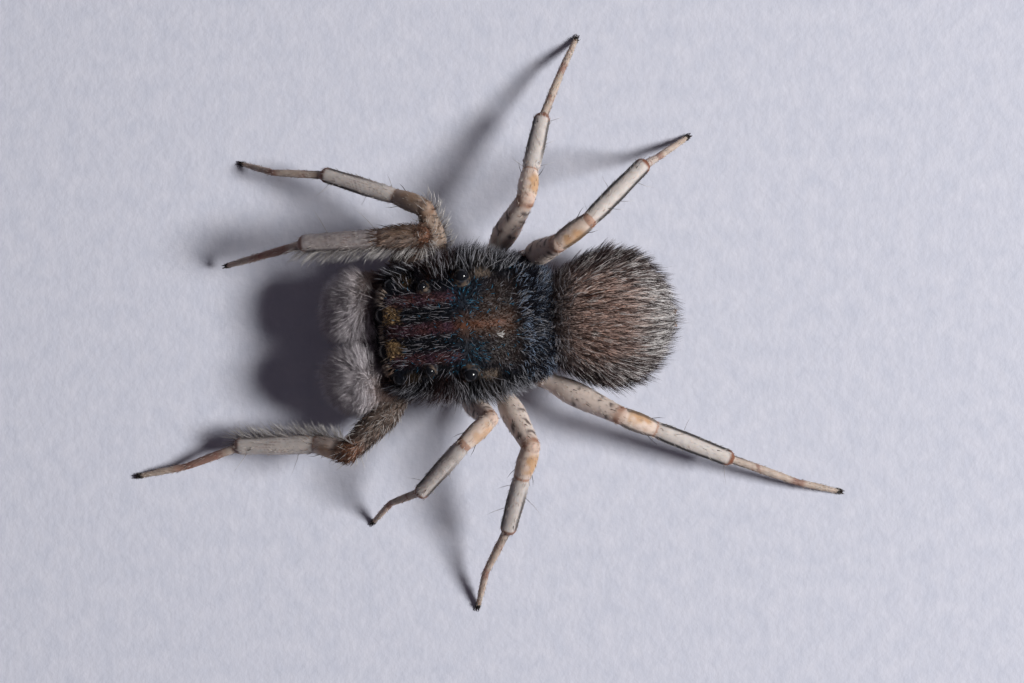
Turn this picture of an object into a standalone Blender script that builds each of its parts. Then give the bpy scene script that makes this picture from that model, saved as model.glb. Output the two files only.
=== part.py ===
"""A small pale male jumping spider, life size, standing with its legs spread and its left rear leg stretched back.

The solids are modelled in millimetres, in the body's own frame: the face looks along -Y, the spider's left
side is +X and the floor is z = 0. One empty turns the body a little, scales it to metres and puts the origin
under the middle of the leg span. Each solid reaches out to the tips of its hair.
"""

import math

import bmesh
import bpy
from mathutils import Matrix, Vector

MM = 0.001
BODY_YAW = math.radians(5.5)  # the nose points a little to the spider's left of -Y
WAIST = (0.0, 0.92, 0.0)  # the abdomen turns here, back into line with Y
GAP = 0.03  # parting gap between two pieces that touch
SIDES = {"left": 1, "right": -1}
UP = Vector((0, 0, 1))
SHARP_ANGLE = math.radians(50)  # an edge sharper than this is shaded as an edge
BALL_FACETS = (16, 10)  # segments round and rings of a plain ellipsoid

# Head and thorax, one carapace. Stations run from the face to the waist:
# (y, half width, lowest z, highest z)
CARAPACE_STATIONS = (
    (-1.97, 0.62, 1.12, 1.68),
    (-1.93, 0.84, 1.05, 1.80),
    (-1.75, 0.95, 1.00, 1.90),
    (-1.20, 1.07, 1.00, 2.02),
    (-0.50, 1.17, 1.02, 2.05),
    (0.00, 1.24, 1.02, 1.95),
    (0.40, 1.20, 1.01, 1.70),
    (0.70, 1.02, 0.98, 1.46),
    (0.88, 0.72, 0.95, 1.26),
    (0.93, 0.38, 0.94, 1.14),
)
CARAPACE_SIDES = 28
CARAPACE_SQUARENESS = 2.7  # 2 is an ellipse, more is boxier

# Abdomen, with its coat, measured from the waist.
ABDOMEN_STATIONS = (
    (0.17, 0.40, 0.80, 1.24),
    (0.21, 0.70, 0.70, 1.44),
    (0.36, 0.98, 0.56, 1.70),
    (0.65, 1.16, 0.46, 1.88),
    (1.00, 1.27, 0.42, 1.97),
    (1.35, 1.32, 0.44, 1.96),
    (1.67, 1.23, 0.50, 1.84),
    (1.93, 1.03, 0.60, 1.64),
    (2.12, 0.72, 0.74, 1.42),
    (2.21, 0.38, 0.88, 1.24),
)
ABDOMEN_SIDES = 28
ABDOMEN_SQUARENESS = 2.2

PEDICEL = {"y": (0.04, 0.14), "z": 1.03, "radius": 0.17, "sides": 12}  # y is measured from the waist

# Eyes: (distance from the midline, y, z, radius). The front pair is the large one.
EYES = {
    "front_middle": (0.32, -1.87, 1.44, 0.215),
    "front_side": (0.81, -1.74, 1.57, 0.125),
    "rear_middle": (0.735, -1.195, 1.88, 0.085),
    "rear_side": (0.86, -0.50, 1.87, 0.130),
}
SOCKET_GAP = 0.02
LARGE_EYE_FACETS = (14, 9)
SMALL_EYE_FACETS = (10, 6)

# Underside: breastplate with the eight hips round it, and the mouthparts.
STERNUM = {"centre": (0.0, -0.42, 0.64), "radii": (0.62, 1.02, 0.20)}
MAXILLA = {"centre": (0.20, -1.48, 0.62), "radii": (0.17, 0.28, 0.15), "facets": (10, 8)}
HIP_HEIGHT = 0.70
COXA_DROP = 0.04  # a hip starts this much lower than it ends
COXA_ROOT = (0.30, 0.27)  # distance from the midline and radius where a hip leaves the breastplate
COXA_ROOT_Y = {1: -1.10, 2: -0.65, 3: -0.15, 4: 0.25}

# Legs: lengths of femur, patella, tibia, metatarsus and tarsus of each pair, and their half thickness
# with hair at both ends and in the middle.
SEGMENTS = ("femur", "patella", "tibia", "metatarsus", "tarsus")
LEG_LENGTHS = {
    1: (1.60, 0.68, 1.42, 1.10, 1.00),
    2: (1.38, 0.66, 1.36, 1.05, 0.84),
    3: (1.53, 0.58, 1.05, 1.07, 0.82),
    4: (1.63, 0.66, 1.43, 1.39, 0.91),
}
REGROWN = {("left", 2): 0.93}  # this leg is a little shorter than its partner
JOINT_RADII = (0.22, 0.27, 0.26, 0.24, 0.22, 0.20)
SWELL = (0.06, 0.02, 0.02, 0.01, 0.01)  # how much each segment is fatter in its middle
FRONT_LEG_COAT = 0.03  # the front pair has more hair
LEG_SIDES = 10
SEGMENT_SHARES = (0.0, 0.4, 1.0)  # where the rings between a segment's ends stand
BEND_ROOM = 0.05  # a ring square to a segment stands this far from the plane that parts it
PARTED_END = 0.96  # the ring in that plane is this share of the full radius
FOOT_CENTRE = 0.165  # height of a foot's centre, low enough for a flat on the floor
FOOT_BALL_TURNS = (28, 56, 80)  # degrees round the half ball where its rings lie

# Pose of each leg: hip (distance from the midline, y), then the heading of each segment in degrees outward
# from straight ahead with its pitch in degrees above the horizon. A foot's pitch follows from its height.
LEG_POSES = {
    ("left", 1): {"hip": (1.05, -1.66), "turns": ((41, 24), (-19, -34), (-4, -18), (15, -15)), "foot": 6},
    ("left", 2): {"hip": (1.22, -0.64), "turns": ((132, 62), (38, 8), (43, -27), (17, -51)), "foot": 42},
    ("left", 3): {"hip": (1.16, -0.02), "turns": ((113, 41), (67, -24), (70, -26), (58, -32)), "foot": 72},
    ("left", 4): {"hip": (1.04, 0.72), "turns": ((149, 18), (153, -21), (153, -14), (155, -15)), "foot": 162},
    ("right", 1): {"hip": (1.16, -1.58), "turns": ((134, 66), (1, -7), (2, -19), (-9, -38)), "foot": -9},
    ("right", 2): {"hip": (1.22, -0.84), "turns": ((79, 49), (27, -36), (23, -18), (9, -22)), "foot": 22},
    ("right", 3): {"hip": (1.16, 0.05), "turns": ((127, 40), (104, -35), (108, -26), (117, -22)), "foot": 120},
    ("right", 4): {"hip": (1.06, 0.64), "turns": ((161, 67), (149, 16), (140, -21), (152, -76)), "foot": 151},
}
RAISED_FOOT = {("right", 1): 0.36}  # this foot is lifted, as in a step

# Jaws and feelers: points along each one's middle as (distance from the midline, y, z) with a radius.
CHELICERA = {
    "spine": ((0.24, -2.00, 0.90), (0.25, -2.06, 0.74), (0.24, -2.07, 0.56), (0.22, -2.04, 0.40)),
    "radii": (0.20, 0.22, 0.21, 0.13),
    "sides": 10,
}
PALP = {
    "spine": ((0.60, -1.80, 0.80), (0.76, -2.02, 0.92), (0.86, -2.34, 0.98), (0.66, -2.60, 0.88),
              (0.42, -2.68, 0.66), (0.35, -2.63, 0.42)),
    "radii": (0.15, 0.18, 0.31, 0.36, 0.34, 0.20),
    "sides": 12,
}
CAP_REACH, CAP_WIDTH = 0.5, 0.55  # a tube's rounded cap, as shares of the radius there

# Spinnerets: three pairs of short tubes on one root. Each tube is its shares of the radius outward and upward,
# and of the length backward. All are measured from the waist.
SPINNERETS = {
    "y": 2.16,
    "z": 0.66,
    "length": 0.18,
    "radius": 0.09,
    "tubes": ((0.7, 0.9, 1.0), (0.9, -0.1, 0.7), (0.5, -0.9, 0.9)),
    "sides": 6,
}
SPINNERET_ROOT = {"back": 0.05, "shares": (2.0, 1.1, 1.8), "facets": (10, 6)}
SPINNERET_WIDTHS = (0.9, 0.6)  # a tube's radii at its foot and tip, as shares
SPINNERET_SPREAD = 1.5  # a tip is this much further out than its foot

MATERIALS = {
    "brown scales": ((0.16, 0.10, 0.08), 0.6),
    "grey brown hair": ((0.24, 0.19, 0.17), 0.7),
    "pale leg": ((0.62, 0.55, 0.47), 0.5),
    "brown leg": ((0.30, 0.20, 0.14), 0.6),
    "white hair": ((0.70, 0.68, 0.66), 0.8),
    "underside": ((0.45, 0.36, 0.28), 0.6),
    "eye": ((0.01, 0.01, 0.012), 0.05),
}


def clear_scene():
    for item in list(bpy.data.objects):
        bpy.data.objects.remove(item)


def material(name):
    """The named material, made the first time it is asked for."""
    made = bpy.data.materials.get(name)
    if made is None:
        colour, roughness = MATERIALS[name]
        made = bpy.data.materials.new(name)
        made.use_nodes = True
        shader = made.node_tree.nodes["Principled BSDF"]
        shader.inputs["Base Color"].default_value = (*colour, 1.0)
        shader.inputs["Roughness"].default_value = roughness
        shader.inputs["Metallic"].default_value = 0.0
    return made


def new_object(name, shape, material_name, parent):
    """Turns a bmesh into an object of the spider, with its faces pointing out."""
    bmesh.ops.recalc_face_normals(shape, faces=shape.faces)
    mesh = bpy.data.meshes.new(name)
    shape.to_mesh(mesh)
    shape.free()
    mesh.materials.append(material(material_name))
    mesh.shade_smooth()
    mesh.set_sharp_from_angle(angle=SHARP_ANGLE)
    made = bpy.data.objects.new(name, mesh)
    bpy.context.scene.collection.objects.link(made)
    made.parent = parent
    return made


def loft(rings):
    """A closed skin through rings of equal count, with a flat face on each end."""
    shape = bmesh.new()
    rows = [[shape.verts.new(point) for point in ring] for ring in rings]
    for row, following in zip(rows, rows[1:]):
        for i, corner in enumerate(row):
            beside = (i + 1) % len(row)
            shape.faces.new((corner, row[beside], following[beside], following[i]))
    shape.faces.new(reversed(rows[0]))
    shape.faces.new(rows[-1])
    return shape


def circle(centre, normal, across, radius, sides):
    """Points round a centre, in the plane of normal, starting from the direction across."""
    across = (across - across.dot(normal) * normal).normalized()
    upward = normal.cross(across)
    return [
        centre + radius * (math.cos(turn) * across + math.sin(turn) * upward)
        for turn in (math.tau * i / sides for i in range(sides))
    ]


def rounded_section(y, half_width, low, high, sides, squareness):
    """A boxy ellipse standing across the body at y."""
    middle, half_height = (low + high) / 2, (high - low) / 2
    points = []
    for i in range(sides):
        turn = math.tau * i / sides
        cos, sin = math.cos(turn), math.sin(turn)
        reach = (abs(cos) ** squareness + abs(sin) ** squareness) ** (-1 / squareness)
        points.append(Vector((half_width * reach * cos, y, middle + half_height * reach * sin)))
    return points


def ellipsoid(centre, radii, segments, rings):
    shape = bmesh.new()
    placing = Matrix.Translation(centre) @ Matrix.Diagonal((*radii, 1.0))
    bmesh.ops.create_uvsphere(shape, u_segments=segments, v_segments=rings, radius=1.0, matrix=placing)
    return shape


def bent_tube(spine, radii, sides):
    """A round tube through the spine's points, closed by a small rounded cap at each end."""
    tangents = [
        (spine[min(i + 1, len(spine) - 1)] - spine[max(i - 1, 0)]).normalized() for i in range(len(spine))
    ]
    across = Vector((1, 0, 0)) if abs(tangents[0].x) < 0.9 else Vector((0, 1, 0))
    start, end = (spine[i] + sign * tangents[i] * radii[i] * CAP_REACH for i, sign in ((0, -1), (-1, 1)))
    rings = [circle(start, tangents[0], across, radii[0] * CAP_WIDTH, sides)]
    for point, tangent, radius in zip(spine, tangents, radii):
        rings.append(circle(point, tangent, across, radius, sides))
        across = rings[-1][0] - point
    rings.append(circle(end, tangents[-1], across, radii[-1] * CAP_WIDTH, sides))
    return loft(rings)


def hide_helper(helper):
    helper.hide_render = True
    helper.display_type = "WIRE"


def combine(target, helpers, operation):
    """Unites the helpers with the target, or cuts them from it."""
    group = bpy.data.collections.new(f"{target.name}_{operation.lower()}")
    for helper in helpers:
        group.objects.link(helper)
        hide_helper(helper)
    step = target.modifiers.new(operation.lower(), "BOOLEAN")
    step.operation = operation
    step.solver = "EXACT"
    step.operand_type = "COLLECTION"
    step.collection = group


def mirrored(point, side):
    return Vector((SIDES[side] * point[0], point[1], point[2]))


def direction(side, heading, pitch):
    """Unit vector from a heading outward from straight ahead and a pitch above the horizon."""
    turn, rise = math.radians(heading), math.radians(pitch)
    return Vector((
        SIDES[side] * math.sin(turn) * math.cos(rise),
        -math.cos(turn) * math.cos(rise),
        math.sin(rise),
    ))


def leg_joints(side, pair):
    """The six points of a leg's middle line, from hip to foot, with the five directions between them."""
    pose = LEG_POSES[side, pair]
    lengths = [length * REGROWN.get((side, pair), 1.0) for length in LEG_LENGTHS[pair]]
    point = mirrored((*pose["hip"], HIP_HEIGHT), side)
    joints, ways = [point], []
    for length, (heading, pitch) in zip(lengths, pose["turns"]):
        ways.append(direction(side, heading, pitch))
        point = point + length * ways[-1]
        joints.append(point)
    drop = point.z - RAISED_FOOT.get((side, pair), FOOT_CENTRE)
    reach = lengths[-1] - JOINT_RADII[-1]  # to the centre of the foot's ball
    pitch = -math.degrees(math.asin(drop / reach))
    ways.append(direction(side, pose["foot"], pitch))
    joints.append(point + reach * ways[-1])
    return joints, ways


def coxa_root(side, pair):
    return mirrored((COXA_ROOT[0], COXA_ROOT_Y[pair], HIP_HEIGHT - COXA_DROP), side)


def parting(before, after):
    """The plane that parts two segments: its normal, and the room that the bend takes for each unit of radius."""
    normal = (before + after).normalized()
    return normal, math.tan(before.angle(after) / 2)


def leg_radii(pair):
    coat = FRONT_LEG_COAT if pair == 1 else 0.0
    return [radius + (coat if 0 < i < 4 else 0.0) for i, radius in enumerate(JOINT_RADII)]


def segment_rings(start, end, way, planes, radii, swell):
    """Rings of one leg segment, from the plane that parts it from the last one to the next plane."""
    side_on = way.cross(UP)
    length = (end - start).length
    near = planes[0][1] * (radii[0] + swell) + BEND_ROOM
    far = planes[1][1] * (radii[1] + swell) + BEND_ROOM
    rings = [circle(start + planes[0][0] * GAP / 2, planes[0][0], side_on, radii[0] * PARTED_END, LEG_SIDES)]
    for share in SEGMENT_SHARES:
        along = near + share * (length - near - far)
        radius = radii[0] + (radii[1] - radii[0]) * along / length + swell * math.sin(math.pi * share)
        rings.append(circle(start + along * way, way, side_on, radius, LEG_SIDES))
    rings.append(circle(end - planes[1][0] * GAP / 2, planes[1][0], side_on, radii[1] * PARTED_END, LEG_SIDES))
    return rings


def foot_rings(start, end, way, plane, radii, swell):
    """Rings of the last segment, which ends in half a ball round the foot's centre."""
    side_on = way.cross(UP)
    rings = segment_rings(start, end, way, (plane, (way, 0.0)), radii, swell)[:-1]
    for turn in FOOT_BALL_TURNS:
        centre = end + way * radii[1] * math.sin(math.radians(turn))
        rings.append(circle(centre, way, side_on, radii[1] * math.cos(math.radians(turn)), LEG_SIDES))
    return rings


def cut_at_floor(shape):
    """Leaves a small flat where the shape meets the floor."""
    everything = shape.verts[:] + shape.edges[:] + shape.faces[:]
    cut = bmesh.ops.bisect_plane(
        shape, geom=everything, plane_co=(0, 0, 0), plane_no=(0, 0, -1), clear_outer=True, dist=1e-6
    )
    rim = [item for item in cut["geom_cut"] if isinstance(item, bmesh.types.BMEdge)]
    if rim:
        bmesh.ops.edgeloop_fill(shape, edges=rim)


def make_leg(side, pair, body):
    joints, ways = leg_joints(side, pair)
    radii = leg_radii(pair)
    hip_way = (joints[0] - coxa_root(side, pair)).normalized()
    planes = [parting(before, after) for before, after in zip([hip_way, *ways], ways)]
    for i, segment in enumerate(SEGMENTS):
        ends = radii[i:i + 2]
        if segment == "tarsus":
            shape = loft(foot_rings(joints[i], joints[i + 1], ways[i], planes[i], ends, SWELL[i]))
            cut_at_floor(shape)
        else:
            shape = loft(segment_rings(joints[i], joints[i + 1], ways[i], planes[i:i + 2], ends, SWELL[i]))
        look = "brown leg" if pair == 1 and segment in ("femur", "patella") else "pale leg"
        new_object(f"{side}_leg{pair}_{segment}", shape, look, body)


def coxa(side, pair):
    """The hip, from inside the breastplate out to the plane where the femur begins."""
    joints, ways = leg_joints(side, pair)
    root = coxa_root(side, pair)
    way = (joints[0] - root).normalized()
    normal, bend = parting(way, ways[0])
    side_on = way.cross(UP)
    end_radius = JOINT_RADII[0]
    before_bend = joints[0] - way * (bend * end_radius + BEND_ROOM)
    return loft([
        circle(root, way, side_on, COXA_ROOT[1], LEG_SIDES),
        circle(before_bend, way, side_on, end_radius, LEG_SIDES),
        circle(joints[0] - normal * GAP / 2, normal, side_on, end_radius * PARTED_END, LEG_SIDES),
    ])


def make_sternum(body):
    plate_form = ellipsoid(STERNUM["centre"], STERNUM["radii"], *BALL_FACETS)
    plate = new_object("sternum_and_hips", plate_form, "underside", body)
    grown = []
    for side in SIDES:
        lobe = ellipsoid(mirrored(MAXILLA["centre"], side), MAXILLA["radii"], *MAXILLA["facets"])
        grown.append(new_object(f"maxilla_{side}", lobe, "underside", body))
        for pair in LEG_LENGTHS:
            grown.append(new_object(f"coxa_{side}_{pair}", coxa(side, pair), "underside", body))
    combine(plate, grown, "UNION")


def make_body_part(name, stations, sides, squareness, look, body):
    rings = [rounded_section(*station, sides, squareness) for station in stations]
    return new_object(name, loft(rings), look, body)


def make_head_and_eyes(body):
    """The carapace, with a socket for each eye."""
    carapace = make_body_part(
        "carapace", CARAPACE_STATIONS, CARAPACE_SIDES, CARAPACE_SQUARENESS, "brown scales", body
    )
    sockets = []
    for side in SIDES:
        for place, (out, y, z, radius) in EYES.items():
            centre = mirrored((out, y, z), side)
            facets = LARGE_EYE_FACETS if place == "front_middle" else SMALL_EYE_FACETS
            new_object(f"eye_{place}_{side}", ellipsoid(centre, (radius,) * 3, *facets), "eye", body)
            hollow = ellipsoid(centre, (radius + SOCKET_GAP,) * 3, *facets)
            sockets.append(new_object(f"socket_{place}_{side}", hollow, "eye", body))
    combine(carapace, sockets, "DIFFERENCE")


def make_mouth(body):
    for side in SIDES:
        for name, feature, look in (("chelicera", CHELICERA, "brown scales"), ("palp", PALP, "white hair")):
            spine = [mirrored(point, side) for point in feature["spine"]]
            new_object(f"{name}_{side}", bent_tube(spine, feature["radii"], feature["sides"]), look, body)


def new_empty(name, parent=None):
    made = bpy.data.objects.new(name, None)
    bpy.context.scene.collection.objects.link(made)
    made.parent = parent
    return made


def make_pedicel(waist):
    rings = [
        circle(Vector((0, y, PEDICEL["z"])), Vector((0, 1, 0)), Vector((1, 0, 0)), PEDICEL["radius"], PEDICEL["sides"])
        for y in PEDICEL["y"]
    ]
    new_object("pedicel", loft(rings), "underside", waist)


def make_spinnerets(waist):
    root = Vector((0, SPINNERETS["y"], SPINNERETS["z"]))
    length, radius = SPINNERETS["length"], SPINNERETS["radius"]
    root_radii = [radius * share for share in SPINNERET_ROOT["shares"]]
    root_centre = root + Vector((0, SPINNERET_ROOT["back"], 0))
    knot = new_object(
        "spinnerets", ellipsoid(root_centre, root_radii, *SPINNERET_ROOT["facets"]), "pale leg", waist
    )
    tube_radii = [radius * share for share in SPINNERET_WIDTHS]
    tubes = []
    for side, sign in SIDES.items():
        for level, (out, rise, reach) in enumerate(SPINNERETS["tubes"]):
            foot = root + Vector((sign * out * radius, 0, rise * radius))
            tip = root + Vector((sign * out * radius * SPINNERET_SPREAD, reach * length, rise * radius))
            tube = bent_tube([foot, tip], tube_radii, SPINNERETS["sides"])
            tubes.append(new_object(f"spinneret_{side}_{level}", tube, "pale leg", waist))
    combine(knot, tubes, "UNION")


def stand_over_origin(body):
    """Puts the empty where the middle of the whole model's box is over the origin."""
    bpy.context.view_layer.update()
    graph = bpy.context.evaluated_depsgraph_get()
    corners = [
        piece.matrix_world @ Vector(corner)
        for piece in (
            child.evaluated_get(graph)
            for child in body.children_recursive
            if child.type == "MESH" and not child.hide_render
        )
        for corner in (vertex.co for vertex in piece.data.vertices)
    ]
    for axis in (0, 1):
        values = [corner[axis] for corner in corners]
        body.location[axis] -= (min(values) + max(values)) / 2


def main():
    clear_scene()
    body = new_empty("spider")
    body.rotation_euler.z = BODY_YAW
    body.scale = (MM, MM, MM)
    make_head_and_eyes(body)
    make_mouth(body)
    make_sternum(body)
    for side, pair in LEG_POSES:
        make_leg(side, pair, body)
    waist = new_empty("waist", body)
    waist.location = WAIST
    waist.rotation_euler.z = -BODY_YAW
    make_pedicel(waist)
    make_body_part("abdomen", ABDOMEN_STATIONS, ABDOMEN_SIDES, ABDOMEN_SQUARENESS, "grey brown hair", waist)
    make_spinnerets(waist)
    stand_over_origin(body)


main()
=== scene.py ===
"""The looks of a small pale jumping spider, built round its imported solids.

Shapes are worked out in millimetres and go into the meshes in metres. In the head's frame the face looks
along -Y, the spider's left side is +X and the floor is z = 0. The abdomen's frame starts at the waist.
One skin stands for all the flesh. The coat is thin closed spikes rooted in that skin, coloured by the same
markings as the skin under them.
"""

import math
from typing import NamedTuple

import bpy
import numpy as np
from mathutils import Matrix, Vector
from mathutils.bvhtree import BVHTree
from mathutils.kdtree import KDTree

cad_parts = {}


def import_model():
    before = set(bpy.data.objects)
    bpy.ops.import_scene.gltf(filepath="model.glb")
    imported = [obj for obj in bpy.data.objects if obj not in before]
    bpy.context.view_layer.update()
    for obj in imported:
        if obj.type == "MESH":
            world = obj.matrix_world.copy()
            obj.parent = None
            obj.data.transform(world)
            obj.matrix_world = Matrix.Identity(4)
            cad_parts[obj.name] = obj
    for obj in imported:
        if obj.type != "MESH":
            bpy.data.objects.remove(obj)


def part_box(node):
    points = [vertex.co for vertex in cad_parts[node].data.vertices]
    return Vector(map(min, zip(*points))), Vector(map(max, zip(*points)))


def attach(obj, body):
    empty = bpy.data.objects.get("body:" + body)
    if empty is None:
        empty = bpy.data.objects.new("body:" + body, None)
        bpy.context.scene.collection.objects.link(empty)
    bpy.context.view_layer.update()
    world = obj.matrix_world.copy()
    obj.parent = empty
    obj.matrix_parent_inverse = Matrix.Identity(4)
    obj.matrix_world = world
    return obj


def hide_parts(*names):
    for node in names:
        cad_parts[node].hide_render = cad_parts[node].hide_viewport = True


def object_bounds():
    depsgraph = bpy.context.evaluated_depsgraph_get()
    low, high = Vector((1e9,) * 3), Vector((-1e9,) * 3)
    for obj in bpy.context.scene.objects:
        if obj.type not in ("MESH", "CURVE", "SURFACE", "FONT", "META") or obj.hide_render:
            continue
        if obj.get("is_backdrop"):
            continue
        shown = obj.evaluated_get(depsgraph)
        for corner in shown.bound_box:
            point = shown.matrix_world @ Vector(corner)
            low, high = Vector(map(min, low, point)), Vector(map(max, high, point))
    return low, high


MM = 0.001
RANDOM = np.random.default_rng(11)
SIDES = {"left": 1, "right": -1}
UP = np.array((0.0, 0.0, 1.0))

# ---------------------------------------------------------------- the spider's sizes, in millimetres

BODY_YAW = math.radians(5.5)
WAIST = (0.0, 0.92, 0.0)
REAR_EYE_Y_Z = (-0.50, 1.87)  # the two big rear eyes, in the head's frame: they place that frame in the row's

# Flesh under the coat. Stations are y, half the width, lowest z, highest z.
CARAPACE = (
    (-1.93, 0.50, 1.16, 1.58),
    (-1.90, 0.76, 1.07, 1.74),
    (-1.74, 0.88, 1.02, 1.84),
    (-1.20, 0.93, 1.00, 1.95),
    (-0.50, 0.98, 1.00, 1.98),
    (0.00, 1.02, 1.00, 1.87),
    (0.40, 0.98, 0.99, 1.66),
    (0.66, 0.86, 0.98, 1.50),
    (0.84, 0.68, 0.97, 1.38),
    (0.95, 0.42, 0.98, 1.24),
)
CARAPACE_SQUARENESS = 2.7
ABDOMEN = (
    (0.00, 0.40, 0.86, 1.28),
    (0.07, 0.62, 0.76, 1.42),
    (0.24, 0.76, 0.64, 1.58),
    (0.55, 0.87, 0.56, 1.70),
    (0.95, 0.94, 0.53, 1.76),
    (1.32, 0.91, 0.55, 1.73),
    (1.60, 0.75, 0.61, 1.61),
    (1.78, 0.56, 0.70, 1.45),
    (1.89, 0.36, 0.80, 1.28),
    (1.93, 0.18, 0.90, 1.16),
)
ABDOMEN_SQUARENESS = 2.2
STERNUM = {"centre": (0.0, -0.42, 0.66), "radii": (0.58, 0.98, 0.17)}
MAXILLA = {"centre": (0.20, -1.48, 0.64), "radii": (0.15, 0.26, 0.13)}
BODY_CORE = {"centre": (0.0, -0.45, 0.90), "radii": (0.78, 1.15, 0.30)}
PEDICEL = {"y": (0.70, 1.30), "z": 1.02, "radius": 0.11}  # from inside the carapace into the abdomen
SPINNERETS = ((0.07, 1.80, 0.78, 0.055), (0.11, 1.84, 0.70, 0.045), (0.05, 1.82, 0.66, 0.05))
SPINNERET_REACH = (0.03, 0.45, -0.06)

# the way that each left eye looks, its rim's radius over its own, and its socket's depth in millimetres
EYE_LOOKS = {
    "front_middle": (0.06, -1.0, 0.03),
    "front_side": (0.42, -1.0, 0.16),
    "rear_middle": (0.80, -0.35, 0.55),
    "rear_side": (0.74, 0.10, 0.67),
}
SOCKET_RIM = {"front_middle": 1.10, "front_side": 1.22, "rear_middle": 1.35, "rear_side": 1.16}
SOCKET_DEPTH = {"front_middle": 0.36, "front_side": 0.30, "rear_middle": 0.22, "rear_side": 0.22}
SOCKET_LIP = 0.08  # how far the rim stands ahead of the eye's middle, in its radii
# No hair comes nearer to an eye's middle than this times its radius. None crosses the eye's view, or the view
# of a rear eye from above, within these many radii ahead and beside.
BARE_ROUND_EYES = 1.22
CLEAR_AHEAD, CLEAR_BESIDE = 1.2, 1.14
TOP_OF_COAT = 2.64  # no hair stands higher above the floor than this

CHELICERA = {
    "spine": ((0.23, -1.86, 1.06), (0.25, -1.99, 0.90), (0.25, -2.04, 0.72), (0.24, -2.05, 0.56),
              (0.21, -2.02, 0.42)),
    "radii": (0.15, 0.18, 0.19, 0.17, 0.10),
}
FANG = {
    "spine": ((0.20, -2.03, 0.37), (0.13, -2.05, 0.31), (0.07, -2.01, 0.27)),
    "radii": (0.045, 0.032, 0.008),
}
PALPS = {
    "left": ((0.62, -1.76, 0.80), (0.93, -1.95, 0.96), (0.92, -2.16, 1.05), (0.78, -2.38, 1.04),
             (0.64, -2.50, 0.88), (0.54, -2.52, 0.54)),
    "right": ((0.62, -1.76, 0.80), (0.86, -1.94, 0.96), (0.70, -2.18, 1.06), (0.52, -2.39, 1.04),
              (0.40, -2.49, 0.88), (0.36, -2.51, 0.54)),
}
PALP_RADII = (0.11, 0.12, 0.14, 0.16, 0.17, 0.08)

HIP_HEIGHT = 0.70
COXA = {"root_x": 0.30, "root_y": {1: -1.10, 2: -0.65, 3: -0.15, 4: 0.25}, "drop": 0.02}
COXA_RADII = (0.19, 0.20, 0.175)
SEGMENTS = ("femur", "patella", "tibia", "metatarsus", "tarsus")
LEG_LENGTHS = {
    1: (1.60, 0.68, 1.42, 1.10, 1.00),
    2: (1.38, 0.66, 1.36, 1.05, 0.84),
    3: (1.53, 0.58, 1.05, 1.07, 0.82),
    4: (1.63, 0.66, 1.43, 1.39, 0.91),
}
REGROWN = {("left", 2): 0.93}  # a leg shorter than its pair's lengths
FOOT_CENTRE = 0.165
FOOT_REACH = 0.20  # the solids' foot ball, taken off the last segment's length
RAISED_FOOT = {("right", 1): 0.36}
# where each leg leaves the body, the heading and pitch of its first four segments, and its foot's heading
LEG_POSES = {
    ("left", 1): {"hip": (1.05, -1.66), "turns": ((41, 24), (-19, -34), (-4, -18), (15, -15)), "foot": 6},
    ("left", 2): {"hip": (1.22, -0.64), "turns": ((132, 62), (38, 8), (43, -27), (17, -51)), "foot": 42},
    ("left", 3): {"hip": (1.16, -0.02), "turns": ((113, 41), (67, -24), (70, -26), (58, -32)), "foot": 72},
    ("left", 4): {"hip": (1.04, 0.72), "turns": ((149, 18), (153, -21), (153, -14), (155, -15)), "foot": 162},
    ("right", 1): {"hip": (1.16, -1.58), "turns": ((134, 66), (1, -7), (2, -19), (-9, -38)), "foot": -9},
    ("right", 2): {"hip": (1.22, -0.84), "turns": ((79, 49), (27, -36), (23, -18), (9, -22)), "foot": 22},
    ("right", 3): {"hip": (1.16, 0.05), "turns": ((127, 40), (104, -35), (108, -26), (117, -22)),
                   "foot": 120},
    ("right", 4): {"hip": (1.06, 0.64), "turns": ((161, 67), (149, 16), (140, -21), (152, -76)), "foot": 151},
}
# radii at the base, at the widest place and at the end of each segment's flesh
FLESH_RADII = {
    "femur": (0.165, 0.222, 0.180),
    "patella": (0.172, 0.183, 0.166),
    "tibia": (0.160, 0.166, 0.152),
    "metatarsus": (0.080, 0.078, 0.069),
    "tarsus": (0.067, 0.063, 0.050),
}
FRONT_LEG_SWELL = 1.06  # the front legs' femur, patella and tibia are this much thicker
SECOND_LEG_SLIM = 0.94
TOE_RADIUS = 0.042
TOE_FORWARD = 0.07
CELL_MARGIN = 0.004  # between the legs' segments on the unwrap

SKIN_VOXEL = 0.024
SKIN_SMOOTHING = 5
# steps round and along each shape; all but the hard parts are then remeshed into the skin
MESH_STEPS = {
    "carapace": (72, 90), "abdomen": (72, 80), "ball": (24, 20), "pedicel": (16, 8), "chelicera": (28, 24),
    "palp": (24, 30), "spinneret": (12, 8), "coxa": (20, 14), "socket": (28, 8), "leg": (24, 30),
    "hard": (8, 9),
}
BALL_STATIONS, BALL_END = 14, 0.06  # how many, and radians left out at each end
LIMB_POINTS = 24  # along a curved limb's spine
LEG_POINTS = 18  # along a leg segment, between its joints
DOME_TURNS = (80, 55, 28)  # degrees from the rim to each ring of a rounded end
LEG_DOME_TURNS = (80, 60, 40, 20)
EYEBALL = {"fit": 0.99, "segments": 48, "rings": 32}


# ---------------------------------------------------------------- small helpers

def unit(ways):
    """The same ways, each of length 1."""
    return ways / np.maximum(np.linalg.norm(ways, axis=-1, keepdims=True), 1e-9)


def turned(points, angle):
    x, y, z = np.moveaxis(np.asarray(points, float), -1, 0)
    cos, sin = math.cos(angle), math.sin(angle)
    return np.stack((x * cos - y * sin, x * sin + y * cos, z), -1)


def mirrored(points, side):
    return np.asarray(points, float) * (SIDES[side], 1, 1)


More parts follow.
